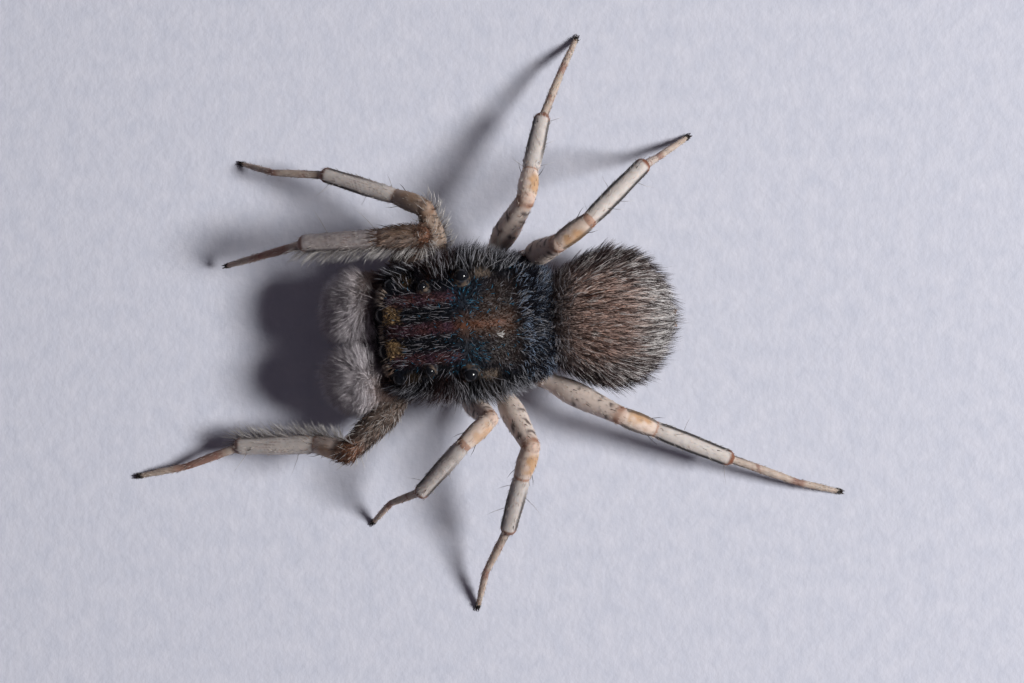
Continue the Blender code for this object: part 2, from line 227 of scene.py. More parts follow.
def along(rows, share):
    """Rows read at a share of the way through them, on a smooth curve."""
    rows = np.asarray(rows, float)
    last = len(rows) - 1
    at = np.clip(share, 0, 1) * last
    i = np.clip(at.astype(int), 0, last - 1)
    t = (at - i)[..., None]
    before, a, b, after = (rows[np.clip(i + step, 0, last)] for step in (-1, 0, 1, 2))
    return ((2 * t**3 - 3 * t**2 + 1) * a + (t**3 - 2 * t**2 + t) * (b - before) / 2
            + (3 * t**2 - 2 * t**3) * b + (t**3 - t**2) * (after - a) / 2)


def soft(value, low, high):
    """0 below low, 1 above high, and smooth between them."""
    t = np.clip((value - low) / (high - low), 0, 1)
    return t * t * (3 - 2 * t)


def band(value, low, high, edge):
    """1 between low and high, 0 outside, with soft edges."""
    return soft(value, low - edge, low + edge) * (1 - soft(value, high - edge, high + edge))


def spot(points, centre, radii, edge=0.35):
    """1 inside an oval of the first coordinates, 0 outside."""
    far = np.linalg.norm((points[..., :len(centre)] - centre) / np.asarray(radii, float), axis=-1)
    return 1 - soft(far, 1 - edge, 1 + edge)


def mix(a, b, share):
    """Colours or ways from a, at a share of 0, to b, at 1."""
    return a + (b - a) * np.asarray(share)[..., None]


def vectors(x, y, z):
    """Points or ways from their coordinates, each an array or one number."""
    return np.stack(np.broadcast_arrays(x, y, z), -1)


def paint(code):
    """A hex colour as the linear values that shaders use."""
    values = np.array([int(code[i:i + 2], 16) for i in (1, 3, 5)]) / 255
    return np.where(values <= 0.04045, values / 12.92, ((values + 0.055) / 1.055) ** 2.4)


def mottle(points, size, seed=0):
    """Smooth blotches from -1 to 1, about size across."""
    p = np.asarray(points) * (math.tau / size)
    total = 0.0
    for k, (a, b, c) in enumerate(((1.0, 0.3, 0.5), (-0.4, 0.9, 0.7), (0.6, -0.8, 0.9), (0.2, 0.7, -1.1))):
        total = total + np.sin(p[..., 0] * a + p[..., 1] * b + p[..., 2] * c + 1.7 * k + 2.3 * seed
                               + 0.8 * np.sin(p[..., (k + 1) % 3] * 0.6 + k + seed))
    return total / 4


class Frame:
    """Where a part of the spider stands in the row's frame."""

    def __init__(self, origin, angle):
        self.origin, self.angle = np.asarray(origin, float), angle

    def out(self, points):
        return self.origin + turned(points, self.angle)

    def back(self, points):
        return turned(np.asarray(points) - self.origin, -self.angle)

    def way(self, ways):
        return turned(ways, self.angle)

    def axes(self, points):
        """The x, y and z that points have in this frame."""
        return np.moveaxis(self.back(points), -1, 0)


def eye_place(name, side):
    low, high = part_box(f"eye_{name}_{side}")
    return np.array((low + high) / 2) / MM, max(high - low) / 2 / MM


def body_frames():
    """The head's frame, found from the big rear eyes of the solids, and the abdomen's."""
    middle = (eye_place("rear_side", "left")[0] + eye_place("rear_side", "right")[0]) / 2
    y, z = REAR_EYE_Y_Z
    head = Frame(middle - turned((0.0, y, z), BODY_YAW), BODY_YAW)
    return head, Frame(head.out(WAIST), 0.0)


# ---------------------------------------------------------------- shapes of the flesh

class Rounded:
    """A body part with boxy oval sections, as a surface of (round, along) shares."""

    def __init__(self, stations, squareness, frame):
        self.stations, self.squareness, self.frame = stations, squareness, frame

    def at(self, u, v):
        y, half, low, high = np.moveaxis(along(self.stations, v), -1, 0)
        cos, sin = np.cos(math.tau * u), np.sin(math.tau * u)
        reach = (abs(cos) ** self.squareness + abs(sin) ** self.squareness) ** (-1 / self.squareness)
        x, z = half * reach * cos, (low + high) / 2 + (high - low) / 2 * reach * sin
        return self.frame.out(vectors(x, y, z))

    def unwrapped(self, u, v):
        """The unwrap is cut along the belly."""
        return np.stack(((u - 0.75) % 1, v), -1)


class Limb:
    """A tube along a smooth spine, as a surface of (round, along) shares. Round 0.25 is its top."""

    def __init__(self, spine, radii, cell=(0, 0, 1, 1), straight=False):
        self.cell = cell
        if straight:
            self.spine, self.radii = np.asarray(spine, float), np.asarray(radii, float)[:, None]
        else:
            shares = np.linspace(0, 1, LIMB_POINTS)
            self.spine = along(spine, shares)
            self.radii = along(np.asarray(radii, float)[:, None], shares)
        steps = np.linalg.norm(np.diff(self.spine, axis=0), axis=1)
        self.places = np.concatenate(((0.0,), np.cumsum(steps))) / steps.sum()
        ways = unit(np.gradient(self.spine, axis=0))
        top = unit(UP - (ways @ UP)[:, None] * ways)
        self.tops, self.outs = top, np.cross(ways, top)

    def read(self, values, v):
        v = np.clip(v, 0, 1)
        i = np.clip(np.searchsorted(self.places, v, side="right") - 1, 0, len(values) - 2)
        t = ((v - self.places[i]) / (self.places[i + 1] - self.places[i]))[..., None]
        return values[i] * (1 - t) + values[i + 1] * t

    def at(self, u, v):
        out, top = self.read(self.outs, v), self.read(self.tops, v)
        cos, sin = np.cos(math.tau * u)[..., None], np.sin(math.tau * u)[..., None]
        return self.read(self.spine, v) + self.read(self.radii, v) * (cos * out + sin * top)

    def unwrapped(self, u, v):
        left, low, right, high = self.cell
        return np.stack((left + (right - left) * ((u - 0.75) % 1), low + (high - low) * v), -1)


def shell_of(surface, round_steps, along_steps, domes=True):
    """A closed mesh of a surface: rings of points, rounded off at the ends when domes is set, and a flat face
    closing each end.
    """
    u = np.arange(round_steps) / round_steps
    v = np.linspace(0, 1, along_steps)
    rings = surface.at(*np.meshgrid(u, v))
    if domes:
        rings = np.concatenate((dome(rings[0], rings[1]), rings, dome(rings[-1], rings[-2])[::-1]))
    points = rings.reshape(-1, 3)
    faces = []
    for row in range(len(rings) - 1):
        for i in range(round_steps):
            j = (i + 1) % round_steps
            a, b = row * round_steps, (row + 1) * round_steps
            faces.append((a + i, a + j, b + j, b + i))
    faces.append(tuple(range(round_steps))[::-1])
    faces.append(tuple(len(points) - round_steps + i for i in range(round_steps)))
    return points, faces


def dome(ring, next_ring):
    """Rings that round off an end, from the outermost inwards."""
    centre = ring.mean(0)
    out = unit(centre - next_ring.mean(0))
    radius = np.linalg.norm(ring - centre, axis=1).mean()
    return np.array([
        centre + (ring - centre) * math.cos(turn) + out * radius * math.sin(turn)
        for turn in map(math.radians, DOME_TURNS)
    ])


def ball(centre, radii, frame):
    angles = np.linspace(BALL_END, math.pi - BALL_END, BALL_STATIONS)
    stations = [(centre[1] - radii[1] * math.cos(a), radii[0] * math.sin(a),
                 centre[2] - radii[2] * math.sin(a), centre[2] + radii[2] * math.sin(a)) for a in angles]
    points, faces = shell_of(Rounded(stations, 2.0, frame), *MESH_STEPS["ball"], domes=False)
    return points + frame.way(np.array((centre[0], 0.0, 0.0))), faces


def leg_way(side, heading, pitch):
    turn, rise = math.radians(heading), math.radians(pitch)
    level = math.cos(rise)
    return np.array((SIDES[side] * math.sin(turn) * level, -math.cos(turn) * level, math.sin(rise)))


def leg_line(side, pair):
    """The middle line of a leg's flesh: hip, knees, ankle and toe, in the head's frame."""
    pose = LEG_POSES[side, pair]
    lengths = [length * REGROWN.get((side, pair), 1.0) for length in LEG_LENGTHS[pair]]
    points = [mirrored((*pose["hip"], HIP_HEIGHT), side)]
    for length, (heading, pitch) in zip(lengths, pose["turns"]):
        points.append(points[-1] + length * leg_way(side, heading, pitch))
    raised = RAISED_FOOT.get((side, pair))
    height = FOOT_CENTRE if raised is None else raised
    reach = lengths[-1] - FOOT_REACH
    pitch = -math.degrees(math.asin((points[-1][2] - height) / reach))
    toe = points[-1] + reach * leg_way(side, pose["foot"], pitch)
    toe = toe + TOE_FORWARD * leg_way(side, pose["foot"], 0)
    toe[2] = TOE_RADIUS if raised is None else raised - TOE_FORWARD
    return points + [toe]


def segment_radii(pair, segment):
    """Radii evenly along a segment, drawn in a little where it meets the one before."""
    base, belly, end = FLESH_RADII[segment]
    more = FRONT_LEG_SWELL if pair == 1 and segment in ("femur", "patella", "tibia") else 1.0
    slim = SECOND_LEG_SLIM if pair == 2 else 1.0
    tip = end if segment == "tibia" else end * 0.9
    return np.array((base * 0.86, base, belly * 0.97, belly, (belly + end) / 2, end, tip)) * more * slim


class LegSegment(Limb):
    """One segment's flesh with its rounded ends, and the leg and place that its markings go by."""

    def __init__(self, frame, side, pair, number, start, end):
        self.side, self.pair, self.segment = side, pair, SEGMENTS[number]
        self.start, self.end = frame.out(start), frame.out(end)
        self.length = float(np.linalg.norm(self.end - self.start))
        row = (pair - 1) * 2 + (side == "left")
        cell = (row / 8 + CELL_MARGIN, number / 5 + CELL_MARGIN,
                (row + 1) / 8 - CELL_MARGIN, (number + 1) / 5 - CELL_MARGIN)
        radii = segment_radii(pair, self.segment)
        shares = np.linspace(0, 1, LEG_POINTS)
        body = along(radii[:, None], shares)[:, 0]
        turns = np.radians(LEG_DOME_TURNS)
        reach = np.sin(turns) / self.length
        shares = np.concatenate((-reach * radii[0], shares, 1 + reach[::-1] * radii[-1]))
        widths = np.concatenate((np.cos(turns) * radii[0], body, np.cos(turns[::-1]) * radii[-1]))
        spine = self.start + (self.end - self.start) * shares[:, None]
        super().__init__(spine, widths, cell, straight=True)

    def place(self, points):
        """How far along the segment points are, and how far round: 1 is its top or its outer side."""
        offset = points - self.start
        way = (self.end - self.start) / self.length
        share = offset @ way / self.length
        across = unit(offset - (offset @ way)[..., None] * way)
        return share, across @ self.tops[0], across @ self.outs[0]

    def on_limb(self, share):
        """The surface's own share for a share of the way between the joints."""
        offset = (self.spine[0] - self.start) @ (self.end - self.start) / self.length
        whole = np.linalg.norm(self.spine[-1] - self.spine[0])
        return (share * self.length - offset) / whole


def leg_segments(frame):
    found = []
    for side in SIDES:
        for pair in LEG_LENGTHS:
            points = leg_line(side, pair)
            for number in range(len(SEGMENTS)):
                found.append(LegSegment(frame, side, pair, number, points[number], points[number + 1]))
    return found


def coxa(frame, side, pair):
    root = mirrored((COXA["root_x"], COXA["root_y"][pair], HIP_HEIGHT - COXA["drop"]), side)
    hip = leg_line(side, pair)[0]
    return Limb(frame.out(np.array((root, (root + hip) / 2, hip))), COXA_RADII)


def socket(centre, radius, frame, name, side):
    """The rim of cuticle that an eye sits in."""
    look = unit(frame.way(mirrored(EYE_LOOKS[name], side)))
    rim = radius * SOCKET_RIM[name]
    start, end = centre - look * SOCKET_DEPTH[name], centre + look * radius * SOCKET_LIP
    spine = np.array([start + (end - start) * t for t in np.linspace(0, 1, 6)])
    return Limb(spine, [rim * 0.98] * 5 + [rim], straight=True)


# ---------------------------------------------------------------- markings, shared by skin and coat

INK = paint("#0e0e14")
BLUE_BLACK = paint("#141925")
PLUM = paint("#533a4b")
RUST = paint("#57301c")
TAN = paint("#8d7351")
BALD = paint("#74675c")
WARM_BROWN = paint("#3c2417")
DARK_BROWN = paint("#281a15")
TEAL = paint("#1a4058")
ICE = paint("#84858c")
GREY_HAIR = paint("#7b7574")
WHITE_HAIR = paint("#cfccca")
CREAM = paint("#cec0b8")
GLASS = paint("#b9b4b2")
LEG_LINE = paint("#1c1513")
JOINT = paint("#9c6a45")
HONEY = paint("#b38c64")
RED_BROWN = paint("#80594f")
TAN_FOOT = paint("#a39489")
BROWN_LEG = paint("#4f3c34")
TAUPE = paint("#a08378")
STREAK = paint("#35292b")
REAR_CREAM = paint("#dcd8d6")
BLACK = paint("#0b0a0d")
EYE_RIM = paint("#6a5a4c")
RUST_CAP = paint("#6e3d22")
KNEE = paint("#87502e")
# a grey brown that is painted shade on the right second leg's femur and patella
PAINTED_SHADE_BROWN = paint("#75604f")
MAUVE = paint("#8f8788")
UNDERSIDE = paint("#8a7263")
FACE_SKIN = paint("#5b3d2f")
PALP_SKIN = paint("#a58468")
CLAW_BROWN = paint("#2a1510")

# colours that only hair has
BLUE_HAIR = paint("#3a82a6")
TAN_HAIR = paint("#a98c68")
COLLAR_BLUE = paint("#76859b")
BRISTLE_GREY = paint("#8f8d94")
MAT_PALE = paint("#c4b2ab")
FRINGE_DUSK = paint("#8a8180")
FRINGE_PALE = paint("#e0dddd")
RUFF_GREY = paint("#8d8c92")
PALP_BROWN = paint("#8f7568")
PALP_GREY = paint("#d0cad0")
PALP_PALE = paint("#e9e4e9")
FACE_PALE = paint("#b9aea4")
FACE_BROWN = paint("#5f4a3e")
VEIL_MAUVE = paint("#ddd6d8")
VEIL_DUSK = paint("#a3989b")
LEG_PALE = paint("#c6c0ba")
LEG_TAN = paint("#8a7365")
TOE_TIP = paint("#37312c")


TUFT_AT = (0.206, 0.056)  # the white tuft's x and y in the head's frame


def sky(p):
    """How much of the blue between the rear eyes there is at points of the head's frame."""
    blue = np.maximum(spot(p, (-0.56, -0.48), (0.26, 0.30)), spot(p, (0.56, -0.48), (0.26, 0.30)))
    faint = np.maximum(spot(p, (-0.26, -0.55), (0.22, 0.26)), spot(p, (0.26, -0.58), (0.22, 0.26)))
    return np.maximum(blue, 0.6 * faint) * np.clip(0.75 + 0.5 * mottle(p, 0.16, 3), 0, 1)


def tan_patch(p):
    """How much of the two ragged tan patches behind the front eyes there is at points of the head's frame."""
    across, y = abs(p[..., 0]), p[..., 1]
    ragged = 0.14 * mottle(p, 0.13, 4)
    inside = band(across + 0.3 * ragged, 0.15, 0.44, 0.05) * band(y, -1.94, -1.66 + ragged, 0.08)
    return inside * soft(mottle(p * (1.0, 0.45, 1.0), 0.07, 1), -0.55, 0.05)


def carapace_marks(p):
    """Colours of the head and thorax at points of the head's frame."""
    y, across = p[..., 1], abs(p[..., 0])
    tint = mix(INK, BLUE_BLACK, 0.5 + 0.5 * mottle(p, 0.5))
    bands = np.maximum(band(across, -0.1, 0.10, 0.05), band(across, 0.42, 0.60, 0.06))
    bands = bands * band(y, -1.85, -0.62, 0.10)
    tint = mix(tint, mix(PLUM, RUST, 0.4 + 0.4 * mottle(p, 0.3, 6)), 0.9 * bands)
    tint = mix(tint, DARK_BROWN, 0.7 * soft(y, -0.45, 0.10) * (1 - soft(across, 0.60, 0.9)))
    tint = mix(tint, WARM_BROWN, 0.9 * band(across, -0.2, 0.22, 0.10) * band(y, -0.66, 0.34, 0.12))
    tint = mix(tint, RUST_CAP * 0.8, 0.6 * band(across, -0.2, 0.06, 0.05) * band(y, -0.66, 0.20, 0.16))
    tint = mix(tint, DARK_BROWN * 1.3, 0.8 * spot(p, (-0.34, -0.10), (0.18, 0.2)))
    tint = mix(tint, TEAL, 0.12 * sky(p))
    tint = mix(tint, TAN, tan_patch(p))
    tint = mix(tint, TAN * 0.6, 0.7 * band(across, 0.74, 0.88, 0.05) * band(y, -1.60, -1.40, 0.06))
    tint = mix(tint, RUST, 0.8 * band(across, 0.86, 1.05, 0.06) * band(y, -1.15, -0.66, 0.10))
    tint = mix(tint, BALD, 0.8 * band(across, 0.80, 1.0, 0.06) * band(y, -0.30, 0.0, 0.06))
    tint = mix(tint, WHITE_HAIR * 0.7, spot(p, TUFT_AT, (0.03, 0.03)))
    tint = mix(tint, BLUE_BLACK, soft(y, 0.42, 0.62))
    return tint * (1 + 0.18 * mottle(p, 0.11, 5))[..., None]


def head_marks(head):
    """Markings of the head for points of the row's frame, with a pale rim round the eyes on top."""
    eyes = [eye_place(name, side) for name in ("rear_middle", "rear_side") for side in SIDES]

    def marks(points):
        tint = carapace_marks(head.back(points))
        for centre, radius in eyes:
            far = np.linalg.norm(points - centre, axis=-1) / radius
            rim = 0.6 * band(far, 1.08, 1.5, 0.1) * soft(mottle(points, 0.12, 2), -0.6, 0.3)
            tint = mix(tint, EYE_RIM, rim)
        return tint
    return marks


def abdomen_marks(p):
    """Colours of the abdomen at points of its own frame, from the waist."""
    x, y = p[..., 0], p[..., 1]
    tint = mix(TAUPE, REAR_CREAM, 0.85 * soft(y, 1.25, 1.85) * (1 - soft(abs(x), 0.50, 0.9)))
    wander = 0.05 * np.sin(3.1 * y + 5 * x) + 0.03 * np.sin(9 * y)
    lines = soft(np.sin(math.tau * (x * (1 - 0.16 * y) + wander) / 0.135), 0.0, 0.8)
    tint = mix(tint, STREAK, 0.25 * lines * band(y, 0.2, 1.75, 0.2))
    crossbar = 0.35 * band(y, 1.14, 1.26, 0.06) * soft(abs(x), 0.15, 0.4) * soft(mottle(p, 0.2, 3), -0.4, 0.3)
    tint = mix(tint, REAR_CREAM, crossbar)
    tint = mix(tint, STREAK, 0.3 * soft(abs(x), 0.62, 0.95) * (0.6 + 0.4 * mottle(p, 0.3, 1)))
    tint = mix(tint, mix(INK, GREY_HAIR, 0.45), 0.75 * (1 - soft(y, 0.15, 0.70)))
    for centre in ((-0.28, 0.70), (0.28, 0.74)):
        tint = mix(tint, RUST * 0.8, 0.8 * spot(p, (centre[0] * 1.15, centre[1] - 0.03), (0.11, 0.11)))
        tint = mix(tint, WHITE_HAIR, spot(p, centre, (0.035, 0.05)))
    belly = 1 - soft(p[..., 2], 0.75, 1.1)
    tint = mix(tint, GREY_HAIR, 0.7 * belly)
    return tint * (1 + 0.15 * mottle(p, 0.14, 2))[..., None]


def leg_marks(segment, points):
    """Colours of a leg segment at points of the row's frame."""
    share, top, out = segment.place(points)
    kind, pair = segment.segment, segment.pair
    inner = out * (-1 if segment.side == "right" else 1)
    side_on = soft(inner if pair == 1 else abs(out), 0.60, 0.82)
    blotch, fine = mottle(points, 0.2, 7), mottle(points, 0.11, 8)
    tint = np.broadcast_to(CREAM, points.shape).copy()
    if kind == "femur":
        for at, wide in ((0.50, 0.035), (0.70, 0.05), (0.86, 0.035)):
            smudge = band(share, at - wide, at + wide, 0.03) * soft(abs(out), 0.1, 0.5)
            smudge = smudge * soft(blotch, -0.1, 0.3)
            tint = mix(tint, STREAK, 0.8 * smudge * soft(top, -0.2, 0.2))
        tint = mix(tint, JOINT, 0.35 * soft(share, 0.86, 0.98))
        ring = 0.7 * band(share, 0.955, 1.02, 0.02) * (0.35 + 0.65 * soft(abs(out), 0.2, 0.8))
        tint = mix(tint, KNEE, ring)
        if pair == 1:
            tint = mix(tint, BROWN_LEG * (0.6 if segment.side == "left" else 1), 0.85)
            tint = mix(tint, KNEE, 0.5 * soft(share, 0.80, 0.96))
        elif (segment.side, pair) == ("right", 2):
            # painted shade: the right second leg's femur is darkened where shade falls on it
            tint = mix(tint, PAINTED_SHADE_BROWN, 0.75)
    elif kind == "patella":
        honey = band(share, 0.12, 0.80, 0.12) * soft(0.5 * blotch - inner, -0.4, 0.5)
        tint = mix(tint, HONEY, 0.15 + (0.7 if pair >= 3 else 0.5) * honey)
        tint = mix(tint, LEG_LINE, 0.7 * side_on * (pair == 4))
        rings = np.maximum(soft(share, 0.96, 0.995), 1 - soft(share, 0.02, 0.06))
        tint = mix(tint, KNEE, 0.6 * rings)
        if (segment.side, pair) == ("right", 2):
            # painted shade: the right second leg's patella is darkened where shade falls on it
            tint = mix(tint, PAINTED_SHADE_BROWN, 0.6)
        if pair == 1:
            brown = 0.75 if segment.side == "right" else 0.8 * (1 - soft(share, 0.2, 0.45))
            tint = mix(tint, BROWN_LEG, brown)
    elif kind == "tibia":
        tint = mix(tint, GLASS, 0.8 + 0.2 * fine)
        if (segment.side, pair) == ("right", 1):
            tint = mix(tint, MAUVE, 0.7 + 0.3 * fine)
        tint = mix(tint, JOINT, 0.3 * (1 - soft(share, 0.0, 0.10)) * soft(fine, -0.8, 0.2))
        line = side_on * soft(share, 0.0, {1: 0.9, 2: 0.7, 3: 0.5, 4: 0.1}[pair])
        cap = soft(share, 0.995, 1.04)
        strength = {1: 0.7, 2: 0.9, 3: 0.85, 4: 0.95}[pair]
        tint = mix(tint, mix(LEG_LINE, RUST_CAP, soft(share, 0.96, 1.02)), strength * np.maximum(line, cap))
        veins = 0.5 * band(share, 0.2, 0.7, 0.1) * soft(np.sin(24 * out), 0.85, 1) * (pair < 3)
        tint = mix(tint, RED_BROWN * 0.7, veins)
    elif kind == "metatarsus":
        rings = np.maximum(band(share, 0.36, 0.48, 0.05) * soft(fine, -0.3, 0.3), soft(share, 0.86, 0.96))
        tint = mix(tint, TAN_FOOT, 0.75 + 0.2 * blotch)
        tint = mix(tint, RED_BROWN, 0.7 * rings)
        tint = mix(tint, LEG_LINE, 0.6 * side_on * (1 - soft(share, 0.1, 0.5)))
        if pair == 1:
            tint = mix(tint, RED_BROWN, 0.75 * soft(share, 0.2, 0.45))
    else:
        tint = mix(tint, TAN_FOOT, 0.8 + 0.2 * blotch)
        tint = mix(tint, RED_BROWN, 0.7 * (1 - soft(share, 0.08, 0.45 if pair == 1 else 0.22)))
        tint = mix(tint, BLACK, soft(share, 0.94, 1.0))
    return tint * (1 + 0.07 * mottle(points, 0.18, 9))[..., None]


def plain_marks(colour, grain=0.2):
    def marks(points):
        blotches = 0.5 + 0.5 * grain * mottle(points, 0.3)
        return mix(np.broadcast_to(colour, points.shape), colour * 0.5, blotches)
    return marks


# ---------------------------------------------------------------- the skin

class Part:
    """A closed shape of flesh with its markings, before it is joined to the others."""

    def __init__(self, mesh, marks):
        (self.points, self.faces), self.marks = mesh, marks


def flesh_parts(head, waist, segments, surfaces):
    """Every closed shape that the skin goes round. They overlap, so the remesh leaves no gap."""
    underside, face, palp = (plain_marks(colour) for colour in (UNDERSIDE, FACE_SKIN, PALP_SKIN))
    in_head = head_marks(head)
    parts = []

    def add(kind, surface, marks, domes=True):
        parts.append(Part(shell_of(surface, *MESH_STEPS[kind], domes=domes), marks))

    add("carapace", surfaces["carapace"], in_head)
    add("abdomen", surfaces["abdomen"], lambda points: abdomen_marks(waist.back(points)))
    parts += [Part(ball(shape["centre"], shape["radii"], head), underside) for shape in (BODY_CORE, STERNUM)]
    y_from, y_to = PEDICEL["y"]
    spine = head.out(np.array([(0, y, PEDICEL["z"]) for y in np.linspace(y_from, y_to, 5)]))
    add("pedicel", Limb(spine, [PEDICEL["radius"]] * 5), face)
    for side in SIDES:
        parts.append(Part(ball(mirrored(MAXILLA["centre"], side), MAXILLA["radii"], head), underside))
        add("chelicera", surfaces["chelicera", side], face)
        add("palp", surfaces["palp", side], palp)
        for x, y, z, radius in SPINNERETS:
            start = mirrored((x, y, z), side)
            spine = waist.out(np.linspace(start, start + mirrored(SPINNERET_REACH, side), 4))
            add("spinneret", Limb(spine, (radius, radius, radius * 0.85, radius * 0.6)), underside)
        for pair in LEG_LENGTHS:
            add("coxa", coxa(head, side, pair), underside)
        for name in EYE_LOOKS:
            add("socket", socket(*eye_place(name, side), head, name, side), in_head, domes=False)
    for segment in segments:
        add("leg", segment, lambda points, segment=segment: leg_marks(segment, points), domes=False)
    return parts


def stacked(parts):
    """The points and faces of several closed shapes in one list, and which shape each face is of."""
    points, faces, owners, start = [], [], [], 0
    for number, part in enumerate(parts):
        points.append(part.points)
        faces += [tuple(start + i for i in face) for face in part.faces]
        owners += [number] * len(part.faces)
        start += len(part.points)
    return np.concatenate(points), faces, owners


def fused(points, faces):
    """One smooth closed surface round all the shapes. The remesh works in millimetres."""
    rough = bpy.data.meshes.new("rough")
    rough.from_pydata(points.tolist(), [], faces)
    helper = bpy.data.objects.new("rough", rough)
    bpy.context.scene.collection.objects.link(helper)
    remesh = helper.modifiers.new("remesh", "REMESH")
    remesh.mode, remesh.voxel_size, remesh.use_smooth_shade = "VOXEL", SKIN_VOXEL, True
    smooth = helper.modifiers.new("smooth", "SMOOTH")
    smooth.factor, smooth.iterations = 0.5, SKIN_SMOOTHING
    graph = bpy.context.evaluated_depsgraph_get()
    mesh = bpy.data.meshes.new_from_object(helper.evaluated_get(graph))
    bpy.data.objects.remove(helper)
    bpy.data.meshes.remove(rough)
    return mesh


def vertex_points(mesh):
    co = np.empty(len(mesh.vertices) * 3, np.float32)
    mesh.vertices.foreach_get("co", co)
    return co.reshape(-1, 3).astype(float)


def set_tint(mesh, colours):
    layer = mesh.attributes.new("tint", "FLOAT_COLOR", "POINT")
    rgba = np.ones((len(colours), 4), np.float32)
    rgba[:, :3] = np.clip(colours, 0, 1)
    layer.data.foreach_set("color", rgba.ravel())


def make_skin(parts, material):
    points, faces, owners = stacked(parts)
    mesh = fused(points, faces)
    found = vertex_points(mesh)
    found[:, 2] = np.maximum(found[:, 2], 0.0)
    tree = BVHTree.FromPolygons(points.tolist(), faces)
    nearest = np.array([owners[tree.find_nearest(Vector(p))[2]] for p in found.tolist()])
    tint = np.empty_like(found)
    for number, part in enumerate(parts):
        mine = nearest == number
        if mine.any():
            tint[mine] = part.marks(found[mine])
    skin_tree = BVHTree.FromPolygons(found.tolist(), [tuple(f.vertices) for f in mesh.polygons])
    mesh.vertices.foreach_set("co", (found * MM).astype(np.float32).ravel())
    mesh.update()
    set_tint(mesh, tint)
    mesh.name = "spider_skin"
    mesh.materials.append(material)
    return new_piece("spider_skin", mesh), skin_tree


def new_piece(name, mesh):
    piece = bpy.data.objects.new(name, mesh)
    bpy.context.scene.collection.objects.link(piece)
    return piece


# ---------------------------------------------------------------- the coat

PALP_FRINGE = -3.04  # where the palps' long hair ends, along Y in the row's frame
# where the rings of a hair stand on its length, its tip being at 1, and how wide they are
LONG_HAIR = ((0.0, 0.36, 0.72), (1.0, 0.92, 0.58))
SHORT_HAIR = ((0.0, 0.52), (1.0, 0.80))
HAIR_SIDES = 3
PATCH = 0.003  # a hair's patch in the unwrap
ROOT_DEPTH = 0.012  # how deep in the skin a hair starts
ROOT_REACH = 0.09  # a hair is left out where the skin is further from its place than this
SCATTER_STEPS = 140  # cells round and along a surface that hairs are shared out to
# hairs of one style vary between these shares of its values, of their colours and of their clump's pull
VARY = {
    "length": (0.75, 1.2), "lift": (0.7, 1.3), "width": (0.8, 1.2), "light": (0.78, 1.22), "pull": (0.6, 1.0),
}


class Style(NamedTuple):
    """How a group of hairs grows."""

    count: int  # for each square millimetre, where a leg's area is given
    length: float
    width: float
    lift: float  # degrees above the skin
    droop: float  # degrees lower in the half towards the tip
    sway: float = 0.25  # radians that hairs stray from the way they lie
    clump: tuple = ()  # spacing, pull on the tips, and share of hairs in their leader's colours


STYLES = {
    "head down": Style(17500, 0.10, 0.012, 18, 12, 0.60),
    "head fringe": Style(7400, 0.13, 0.011, 20, 20, 0.45, (0.05, 0.5, 0.6)),
    "collar": Style(4300, 0.17, 0.009, 50, 22, 0.70, (0.04, 0.3, 0.2)),
    "bristles": Style(330, 0.29, 0.008, 16, 20, 0.24, (0.06, 0.4, 0.5)),
    "brows": Style(170, 0.24, 0.009, 24, 14, 0.35, (0.05, 0.4, 0.5)),
    "white tuft": Style(34, 0.09, 0.013, 30, 20, 0.50),
    "abdomen down": Style(18500, 0.14, 0.012, 15, 8, 0.34),
    "mat": Style(3600, 0.22, 0.012, 18, 12, 0.20, (0.06, 0.6, 0.8)),
    "streaks": Style(2000, 0.50, 0.009, 17, 14, 0.10, (0.055, 0.85, 0.9)),
    "dark fringe": Style(1700, 0.38, 0.010, 22, 18, 0.20, (0.07, 0.8, 0.85)),
    "pale fringe": Style(4000, 0.28, 0.010, 20, 18, 0.25, (0.06, 0.5, 0.5)),
    "ruff": Style(1100, 0.24, 0.009, 52, 20, 0.60, (0.05, 0.3, 0.3)),
    "palp fan": Style(16400, 0.0, 0.010, 44, 0, 0.38, (0.07, 0.5, 0.15)),
    "palp crossing": Style(3100, 0.46, 0.010, 24, 8, 0.45),
    "jaw": Style(900, 0.16, 0.018, 26, 12, clump=(0.05, 0.4, 0.3)),
    "below the eyes": Style(1500, 0.20, 0.018, 34, 25, clump=(0.06, 0.4, 0.3)),
    "jaw veil": Style(1500, 0.54, 0.012, 50, 26, 0.35),
    "face veil": Style(3600, 0.54, 0.012, 50, 26, 0.35),
    "brown coat": Style(780, 0.17, 0.011, 24, 18, 0.40, (0.05, 0.3, 0.3)),
    "thin brown coat": Style(110, 0.17, 0.011, 24, 18, 0.40, (0.05, 0.3, 0.3)),
    "white guard": Style(110, 0.24, 0.009, 44, 30, 0.50),
    "few plumes": Style(50, 0.34, 0.010, 56, 44, 0.35, (0.07, 0.6, 0.3)),
    "plumes": Style(110, 0.34, 0.010, 56, 44, 0.35, (0.07, 0.6, 0.3)),
    "inner fringe": Style(210, 0.36, 0.008, 44, 8, 0.45, (0.05, 0.35, 0.2)),
    "long feelers": Style(6, 0.55, 0.009, 62, 14, 0.30),
    "feelers": Style(6, 0.36, 0.009, 62, 14, 0.30),
    "femur": Style(150, 0.10, 0.009, 18, 16, 0.30),
    "patella": Style(150, 0.09, 0.009, 18, 16, 0.30),
    "tibia": Style(130, 0.10, 0.009, 18, 16, 0.30),
    "metatarsus": Style(200, 0.08, 0.009, 20, 16, 0.30),
    "tarsus": Style(380, 0.07, 0.009, 24, 16, 0.30),
    "toe": Style(90, 0.07, 0.009, 22, 30, 0.40),
}


